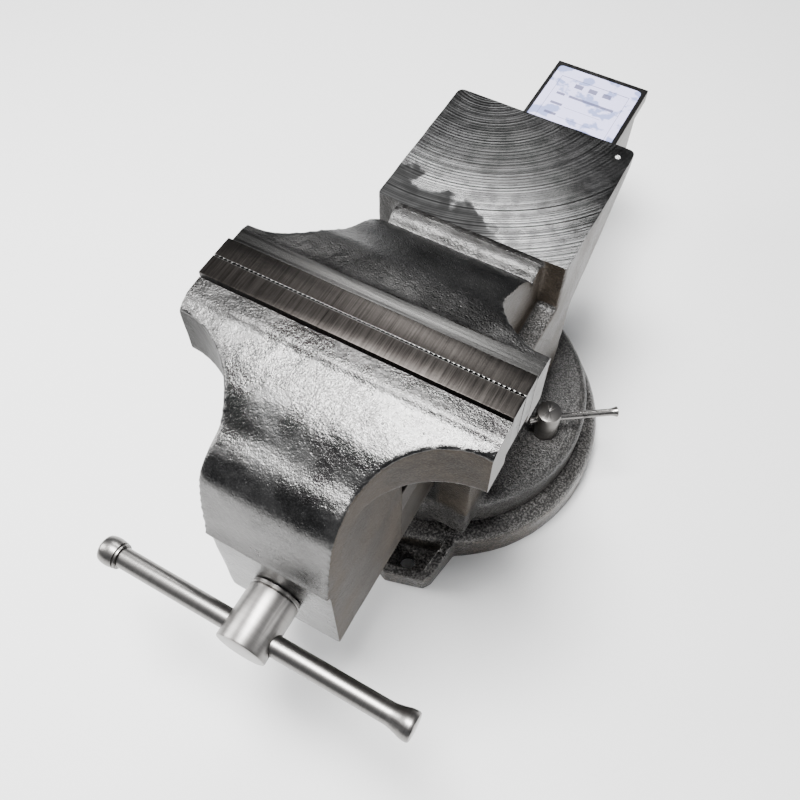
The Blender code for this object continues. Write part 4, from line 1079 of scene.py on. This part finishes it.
def jaw_plate(name, direction, body, node):
    """Hardened plate: crossed serrations on the gripping face and two countersunk holes."""
    grip = SEAM_Y + direction * HALF_GAP
    middle = grip + direction * PLATE_THICKNESS / 2
    size = (2 * JAW_HALF, PLATE_HEIGHT, PLATE_THICKNESS - HALF_GAP)
    plate = grown(name, [(0.0, 0.0, 0.0)], SERRATED, PLATE, Size=size, Pitch=SERRATION_PITCH,
                  Depth=SERRATION_DEPTH, Step=SERRATION_STEP)
    upright = Matrix.Rotation(math.radians(90.0 * direction), 4, "X")
    plate.data.transform(Matrix.Translation((0.0, middle, JAW_TOP - PLATE_HEIGHT / 2)) @ upright)
    low, high = sorted((grip, SEAM_Y + direction * PLATE_THICKNESS))
    limits = block("limits", (-JAW_HALF, low, JAW_TOP - PLATE_HEIGHT), (JAW_HALF, high, JAW_TOP))
    combine(plate, "INTERSECT", bevelled(limits, PLATE_EDGE), "MANIFOLD")
    for side in (-1, 1):
        sink = laid(countersink("sink", 0.0004), "-Y" if direction > 0 else "Y",
                    (side * SCREW_SPREAD, grip, JAW_TOP - PLATE_HEIGHT / 2))
        cut(plate, sink)
    return finished(plate, body, [node], [PLATE], 25.0)


def plate_screws(name, direction, body, nodes):
    """Two socket screws, sunk just under the gripping face."""
    grip = SEAM_Y + direction * HALF_GAP
    screw = countersink("socket_screw", 0.0)
    socket = lathe("socket", [(0.0, -0.0035), (0.0038, -0.0035), (0.0038, 0.002), (0.0, 0.002)], 6)
    combine(screw, "DIFFERENCE", socket)
    laid(screw, "-Y" if direction > 0 else "Y", (0.0, 0.0, 0.0))
    height = JAW_TOP - PLATE_HEIGHT / 2
    pair = grown(name, [(-SCREW_SPREAD, grip, height), (SCREW_SPREAD, grip, height)], COPIES, OXIDE,
                 Shape=screw)
    bpy.data.objects.remove(screw, do_unlink=True)
    return finished(pair, body, nodes, [OXIDE])


# ---------------------------------------------------------------- screw and nut

def lead_screw():
    """Head with the handle's cross bore, plain neck, and a trapezoid thread to the tip."""
    tip = FRONT_Y - SCREW_TIP_Y
    head = FRONT_Y - SCREW_HEAD_Y
    start = FRONT_Y - THREAD_START_Y
    profile = [(0.0, head), (SCREW_HEAD_RADIUS - 0.0016, head), (SCREW_HEAD_RADIUS - 0.0004, head - 0.0004),
               (SCREW_HEAD_RADIUS, head - 0.0014), (SCREW_HEAD_RADIUS, 0.0044),
               (SCREW_HEAD_RADIUS - 0.0008, 0.0036), (SCREW_RADIUS, 0.0036), (SCREW_RADIUS, start + 0.003),
               (SCREW_CORE, start), (SCREW_CORE, tip + 0.002), (SCREW_CORE - 0.0015, tip), (0.0, tip)]
    screw = laid(lathe("lead_screw_turned", profile), "-Y", (0.0, FRONT_Y, SCREW_AXIS))
    bore = rod("bore", "X", HANDLE_RADIUS + 0.0005, (-0.05, HANDLE_Y, SCREW_AXIS), 0.1, ROUND)
    combine(screw, "DIFFERENCE", bore)
    combine(screw, "DIFFERENCE", rod("pin_hole", "X", PIN_HOLE_RADIUS, (-0.05, PIN_Y, SCREW_AXIS), 0.1))
    depth = SCREW_RADIUS - SCREW_CORE
    outline = [(-0.0007, -0.0021), (depth, -0.0010), (depth, 0.0010), (-0.0007, 0.0021)]
    turns = int((SCREW_TIP_Y - THREAD_START_Y - 0.004) / THREAD_PITCH)
    thread = grown("thread", [(a, b, 0.0) for a, b in outline], HELIX, TURNED_Y, ring_edges(4),
                   Radius=SCREW_CORE, Pitch=THREAD_PITCH, Turns=float(turns), Steps=40)
    laid(thread, "Y", (0.0, THREAD_START_Y + 0.002, SCREW_AXIS))
    combine(screw, "UNION", thread, "MANIFOLD")
    return finished(screw, "screw", ["lead_screw"], [TURNED_Y], 30.0)


def small_ring(name, inner, outer, start, length, material, node, edge=0.0005):
    profile = [(inner, edge), (inner + edge, 0.0), (outer - edge, 0.0), (outer, edge),
               (outer, length - edge), (outer - edge, length), (inner + edge, length),
               (inner, length - edge)]
    ring = laid(lathe(name, profile, ROUND, closed=True), "Y", (0.0, start, SCREW_AXIS))
    if node == "retaining_collar":
        combine(ring, "DIFFERENCE", rod("pin_hole", "X", PIN_HOLE_RADIUS, (-0.05, PIN_Y, SCREW_AXIS), 0.1))
    return finished(ring, "screw", [node], [material])


def return_spring():
    """Coil between the front wall and the collar."""
    wire = 0.0015
    outline = [(wire * math.cos(a), wire * math.sin(a), 0.0)
               for a in (math.tau * k / 16 for k in range(16))]
    coil = grown("return_spring_coil", outline, HELIX, OXIDE, ring_edges(16), Radius=0.0152,
                 Pitch=0.0046, Turns=4.0, Steps=56)
    laid(coil, "Y", (0.0, -0.2248, SCREW_AXIS))
    return finished(coil, "screw", ["return_spring"], [OXIDE], 60.0)


def split_pin():
    """Round pin, slit along its length."""
    pin = rod("split_pin_bent", "X", 0.0019, (-0.0195, PIN_Y, SCREW_AXIS), 0.038, 24)
    slit = block("slit", (-0.0190, -0.21, SCREW_AXIS - 0.0002), (0.025, -0.18, SCREW_AXIS + 0.0002))
    combine(pin, "DIFFERENCE", slit)
    return finished(pin, "screw", ["split_pin"], [OXIDE])


def lead_nut():
    half = CHANNEL_HALF - 0.006
    nut = block("lead_nut_bored", (-half, NUT_Y - 0.035, TUNNEL_FLOOR + 0.0003),
                (half, NUT_Y + 0.035, CHANNEL_TOP - 0.001))
    bevelled(nut, 0.0012, 3)
    bore = rod("bore", "Y", SCREW_RADIUS + 0.0004, (0.0, NUT_Y - 0.05, SCREW_AXIS), 0.1, ROUND)
    combine(nut, "DIFFERENCE", bore)
    combine(nut, "DIFFERENCE", rod("seat", "Z", NUT_BOLT_HOLE_RADIUS, (0.0, NUT_Y, 0.08), 0.0505))
    return finished(nut, "swivel_body", ["lead_nut"], [BRONZE])


def nut_bolt():
    """Hexagon bolt whose head corners are turned to a chamfer."""
    top = NUT_BOLT_SINK_DEPTH
    head = lathe("nut_bolt_hex", [(0.0, top - 0.009), (0.011, top - 0.009), (0.011, top),
                                  (0.0, top)], 6)
    crown = lathe("crown", [(0.0, top - 0.009), (0.0095, top - 0.009), (0.0118, top - 0.0075),
                            (0.0118, top), (0.0, top)], ROUND)
    head.data.transform(Matrix.Translation((0.0, NUT_Y, 0.0)))
    crown.data.transform(Matrix.Translation((0.0, NUT_Y, 0.0)))
    combine(head, "INTERSECT", crown)
    combine(head, "UNION", rod("shank", "Z", 0.007, (0.0, NUT_Y, top - 0.003), 0.0994))
    return finished(head, "swivel_body", ["nut_bolt"], [OXIDE])


# ---------------------------------------------------------------- handle and lock bolts

def handle_bar():
    """Bar with a forged flared head at +X."""
    end, neck = HANDLE_HALF, HANDLE_HALF - HANDLE_HEAD_LENGTH
    cap_face = -end + HANDLE_HEAD_LENGTH + 0.0003
    flare = smooth_line([(HANDLE_RADIUS, neck - 0.005), (HANDLE_RADIUS + 0.0002, neck - 0.001),
                         (HANDLE_RADIUS + 0.0013, neck + 0.0045),
                         (HANDLE_HEAD_RADIUS - 0.0004, neck + 0.0085),
                         (HANDLE_HEAD_RADIUS - 0.0001, end - 0.0030)], 5)
    profile = [(0.0, end), (HANDLE_HEAD_RADIUS - 0.0022, end), (HANDLE_HEAD_RADIUS - 0.0008, end - 0.0005),
               (HANDLE_HEAD_RADIUS - 0.0002, end - 0.0015), *reversed(flare),
               (HANDLE_RADIUS, cap_face + 0.0006), (HANDLE_RADIUS - 0.0006, cap_face),
               (0.0055, cap_face), (0.0055, cap_face - 0.008), (0.0, cap_face - 0.008)]
    bar = laid(lathe("handle_bar_turned", profile), "X", (0.0, HANDLE_Y, SCREW_AXIS))
    return finished(bar, "handle", ["handle_bar"], [TURNED_X])


def handle_cap():
    """Barrel-shaped cap with a groove beside the bar and a blind bore."""
    radius, length = HANDLE_HEAD_RADIUS, HANDLE_HEAD_LENGTH
    barrel = smooth_line([(radius - 0.0034, 0.0), (radius - 0.0012, 0.0016), (radius - 0.0002, 0.0048),
                          (radius, 0.0085), (radius - 0.0006, length - 0.0022)], 6)
    profile = [(0.0, 0.0), *barrel, (radius - 0.0020, length - 0.0020), (radius - 0.0020, length - 0.0012),
               (radius - 0.0009, length - 0.0010), (radius - 0.0011, length), (0.0058, length),
               (0.0058, length - 0.0083), (0.0, length - 0.0083)]
    cap = laid(lathe("handle_cap_turned", profile), "X", (-HANDLE_HALF, HANDLE_Y, SCREW_AXIS))
    return finished(cap, "handle", ["handle_cap"], [TURNED_X])


def lever_turn(side):
    direction = Vector((side * math.cos(LEVER_ANGLE), math.sin(LEVER_ANGLE), 0.0))
    return direction.to_track_quat("Z", "Y").to_matrix().to_4x4()


def lock_bolt(side, body, node):
    """Round head with a broken edge, turned grooves and a centre mark."""
    top, radius = LOCK_HEAD_TOP, LOCK_HEAD_RADIUS
    profile = [(0.0, top - 0.0007), (0.0010, top), (radius - 0.0012, top), (radius - 0.0003, top - 0.0004),
               (radius, top - 0.0013), (radius, LOCK_HEAD_BOTTOM + 0.0006),
               (radius - 0.0006, LOCK_HEAD_BOTTOM), (0.006, LOCK_HEAD_BOTTOM), (0.006, 0.0046),
               (0.0054, 0.004), (0.0, 0.004)]
    bolt = lathe(node + "_turned", profile)
    hole = lathe("hole", [(0.0, -0.03), (LEVER_RADIUS + 0.0004, -0.03), (LEVER_RADIUS + 0.0004, 0.03),
                          (0.0, 0.03)], SMALL_ROUND)
    hole.data.transform(Matrix.Translation((0.0, 0.0, LEVER_Z)) @ lever_turn(side))
    combine(bolt, "DIFFERENCE", hole)
    bolt.data.transform(Matrix.Translation((side * LOCK_SPREAD, LOCK_Y, 0.0)))
    return finished(bolt, body, [node], [TURNED_Z])


def lock_lever(side, body, node):
    """Thin cross bar with upset ends."""
    inner = -LOCK_HEAD_RADIUS - 0.0058
    outer = inner + LEVER_LENGTH
    knob = 0.0044
    profile = [(0.0, outer), (knob - 0.0005, outer), (knob, outer - 0.0006), (knob - 0.0003, outer - 0.0015),
               (LEVER_RADIUS + 0.0003, outer - 0.0040), (LEVER_RADIUS, outer - 0.0060),
               (LEVER_RADIUS, inner + 0.0060), (LEVER_RADIUS + 0.0003, inner + 0.0046),
               (knob - 0.0003, inner + 0.0015), (knob, inner + 0.0006), (knob - 0.0005, inner),
               (0.0, inner)]
    lever = lathe(node + "_turned", profile, SMALL_ROUND)
    place = Matrix.Translation((side * LOCK_SPREAD, LOCK_Y, LEVER_Z))
    lever.data.transform(place @ lever_turn(side))
    return finished(lever, body, [node], [LEVER])


# ---------------------------------------------------------------- paper slip

def paper_material():
    """Pale lilac slip with a ruled frame, grey bars and soft blue patches, no lettering."""
    material, tree, shader, place = new_material("printed_paper")
    spot = split(tree, place["Object"])
    across = calc(tree, "DIVIDE", spot["X"], LABEL_HALF_WIDTH)
    along = calc(tree, "DIVIDE", calc(tree, "SUBTRACT", LABEL_REAR_Y, spot["Y"]), 0.105)
    paper = (0.56, 0.55, 0.82)
    patches = put(tree, "ShaderNodeTexNoise", {"Vector": place["Object"], "Scale": 62.0,
                                               "Detail": 3.0}).outputs[0]
    colour = blend_colour(tree, ramp(tree, patches, 0.52, 0.58, 0.0, 0.9), paper, (0.20, 0.24, 0.46))
    ink = None
    for left, right, near, far in RULES:
        inside = calc(tree, "MULTIPLY", calc(tree, "GREATER_THAN", across, left),
                      calc(tree, "LESS_THAN", across, right))
        level = calc(tree, "MULTIPLY", calc(tree, "GREATER_THAN", along, near),
                     calc(tree, "LESS_THAN", along, far))
        bar = calc(tree, "MULTIPLY", inside, level)
        ink = bar if ink is None else calc(tree, "MAXIMUM", ink, bar)
    colour = blend_colour(tree, calc(tree, "MULTIPLY", ink, 0.85), colour, (0.06, 0.06, 0.12))
    fibre = put(tree, "ShaderNodeTexNoise", {"Vector": place["Object"], "Scale": 1500.0,
                                             "Detail": 2.0}).outputs[0]
    set_shader(tree, shader, colour=colour, roughness=0.55, metallic=0.0,
               normal=bump(tree, fibre, 0.00004))
    return material


# Printed rules and bars: (left, right) across and (near, far) along, as shares of the slip
RULES = [
    (-0.82, 0.82, 0.120, 0.127), (-0.82, 0.82, 0.900, 0.907), (-0.82, -0.81, 0.120, 0.907),
    (0.81, 0.82, 0.120, 0.907), (-0.42, -0.22, 0.170, 0.225), (-0.08, 0.12, 0.170, 0.225),
    (0.26, 0.46, 0.170, 0.225), (-0.70, -0.50, 0.330, 0.360), (-0.40, 0.66, 0.330, 0.360),
    (-0.70, -0.42, 0.460, 0.490), (-0.36, 0.50, 0.490, 0.494), (-0.70, -0.42, 0.590, 0.620),
    (-0.36, 0.50, 0.620, 0.624), (-0.70, -0.42, 0.720, 0.750), (-0.36, 0.50, 0.750, 0.754),
]


def paper_slip():
    """Thin slip with rounded corners, lying almost flat on the slide."""
    corner = 0.004
    across, along = LABEL_HALF_WIDTH - corner, (LABEL_REAR_Y - LABEL_FRONT_Y) / 2 - corner
    middle = (LABEL_REAR_Y + LABEL_FRONT_Y) / 2
    outline = []
    for sx, sy, start in ((1, 1, 0), (-1, 1, 90), (-1, -1, 180), (1, -1, 270)):
        outline += arc((sx * across, middle + sy * along), corner, start, start + 90, 8)
    slip = prism("paper_slip", "XY", outline, LABEL_Z, LABEL_Z + 0.00015)
    return finished(slip, "moving_jaw", ["inspection_label"], [PAPER])


# ---------------------------------------------------------------- build

SILVER = silver_casting()
BODY = body_casting()
BLACK = black_casting()
ANVIL = anvil_face()
GROUND = ground_iron("ground_faces", (60.0, 60.0, 900.0), (0.14, 0.135, 0.13),
                     (0.26, 0.25, 0.24), 0.36)
BAND = ground_iron("milled_band", (9.0, 620.0, 60.0), (0.004, 0.004, 0.004),
                   (0.060, 0.059, 0.057), 0.26, painted_flank_light=False)
SLIDE_IRON = ground_iron("slide_faces", (900.0, 25.0, 900.0), (0.03, 0.03, 0.03),
                         (0.10, 0.096, 0.092), 0.38)
PLATE = ground_iron("plate_ground", (4200.0, 70.0, 120.0), (0.010, 0.009, 0.0083),
                    (0.042, 0.038, 0.035), 0.32, painted_flank_light=False, pale_seam_line=True)
TURNED_X = turned_steel("turned_bar", "X", (0.115, 0.110, 0.105), (0.30, 0.29, 0.28), 0.32)
TURNED_Y = turned_steel("turned_screw", "Y", (0.115, 0.110, 0.105), (0.30, 0.29, 0.28), 0.32)
TURNED_Z = turned_steel("turned_bolt", "Z", (0.10, 0.095, 0.09), (0.24, 0.23, 0.22), 0.34)
LEVER = turned_steel("drawn_lever", "X", (0.12, 0.115, 0.11), (0.28, 0.27, 0.26), 0.26)
OXIDE = black_oxide()
BRONZE = bronze()
PAPER = paper_material()

HELIX = helix_group()
SERRATED = serration_group()
COPIES = scatter_group()

moving_jaw_casting()
fixed_jaw_casting()
base_casting()
clamp_ring()
jaw_plate("moving_plate_serrated", -1, "moving_jaw", "moving_jaw_plate")
jaw_plate("fixed_plate_serrated", 1, "swivel_body", "fixed_jaw_plate")
plate_screws("moving_plate_screws", -1, "moving_jaw",
             ["moving_plate_screw_left", "moving_plate_screw_right"])
plate_screws("fixed_plate_screws", 1, "swivel_body",
             ["fixed_plate_screw_left", "fixed_plate_screw_right"])
lead_screw()
small_ring("thrust_washer_ring", 0.0134, 0.0176, -0.2503, 0.0030, TURNED_Y, "thrust_washer")
small_ring("collar_ring", 0.0133, 0.0168, -0.2044, 0.012, OXIDE, "retaining_collar")
return_spring()
split_pin()
lead_nut()
nut_bolt()
handle_bar()
handle_cap()
for side_name, side_sign in (("left", -1), ("right", 1)):
    lock_bolt(side_sign, "lock_" + side_name, "lock_bolt_" + side_name)
    lock_lever(side_sign, "lever_" + side_name, "lock_lever_" + side_name)
paper_slip()


# ---------------------------------------------------------------- camera, floor and light

def camera():
    right = Vector((0.87343, 0.48694, 0.002))
    up = Vector((-0.41654, 0.74501, 0.52102))
    turn = Matrix((right, up, right.cross(up))).transposed().to_4x4()
    data = bpy.data.cameras.new("camera")
    data.lens = 38.25
    data.clip_start = 0.01
    data.clip_end = 50.0
    obj = bpy.data.objects.new("camera", data)
    bpy.context.scene.collection.objects.link(obj)
    obj.matrix_world = Matrix.Translation((0.1549, -0.3659, 0.6802)) @ turn
    bpy.context.scene.camera = obj


def floor():
    """Plain pale floor."""
    plane = prism("floor", "XY", [(-6.0, -6.0), (6.0, -6.0), (6.0, 6.0), (-6.0, 6.0)], -0.02, -0.0002)
    material, tree, shader, place = new_material("floor")
    set_shader(tree, shader, colour=(0.9, 0.9, 0.895), roughness=0.8)
    plane.data.materials.append(material)


def soft_light(name, place, aim, size, power):
    data = bpy.data.lights.new(name, "AREA")
    data.shape = "RECTANGLE"
    data.size, data.size_y = size
    data.energy = power
    obj = bpy.data.objects.new(name, data)
    bpy.context.scene.collection.objects.link(obj)
    obj.location = place
    obj.rotation_mode = "QUATERNION"
    obj.rotation_quaternion = (Vector(aim) - Vector(place)).to_track_quat("-Z", "Y")


def world():
    data = bpy.data.worlds.new("studio")
    data.use_nodes = True
    data.node_tree.nodes["Background"].inputs["Color"].default_value = (0.9, 0.93, 1.0, 1.0)
    data.node_tree.nodes["Background"].inputs["Strength"].default_value = 0.20
    bpy.context.scene.world = data


camera()
floor()
world()
soft_light("overhead", (-0.14, -0.22, 1.45), (0.0, -0.05, 0.2), (0.60, 0.42), 62.0)
soft_light("back_high", (-0.50, 1.22, 1.62), (0.0, 0.08, 0.24), (0.60, 0.24), 20.0)
soft_light("left_front", (-1.2, -0.5, 0.88), (0.0, -0.1, 0.2), (0.55, 0.8), 24.0)
soft_light("right_side", (1.5, -0.2, 0.9), (0.0, 0.0, 0.15), (0.30, 0.7), 6.0)
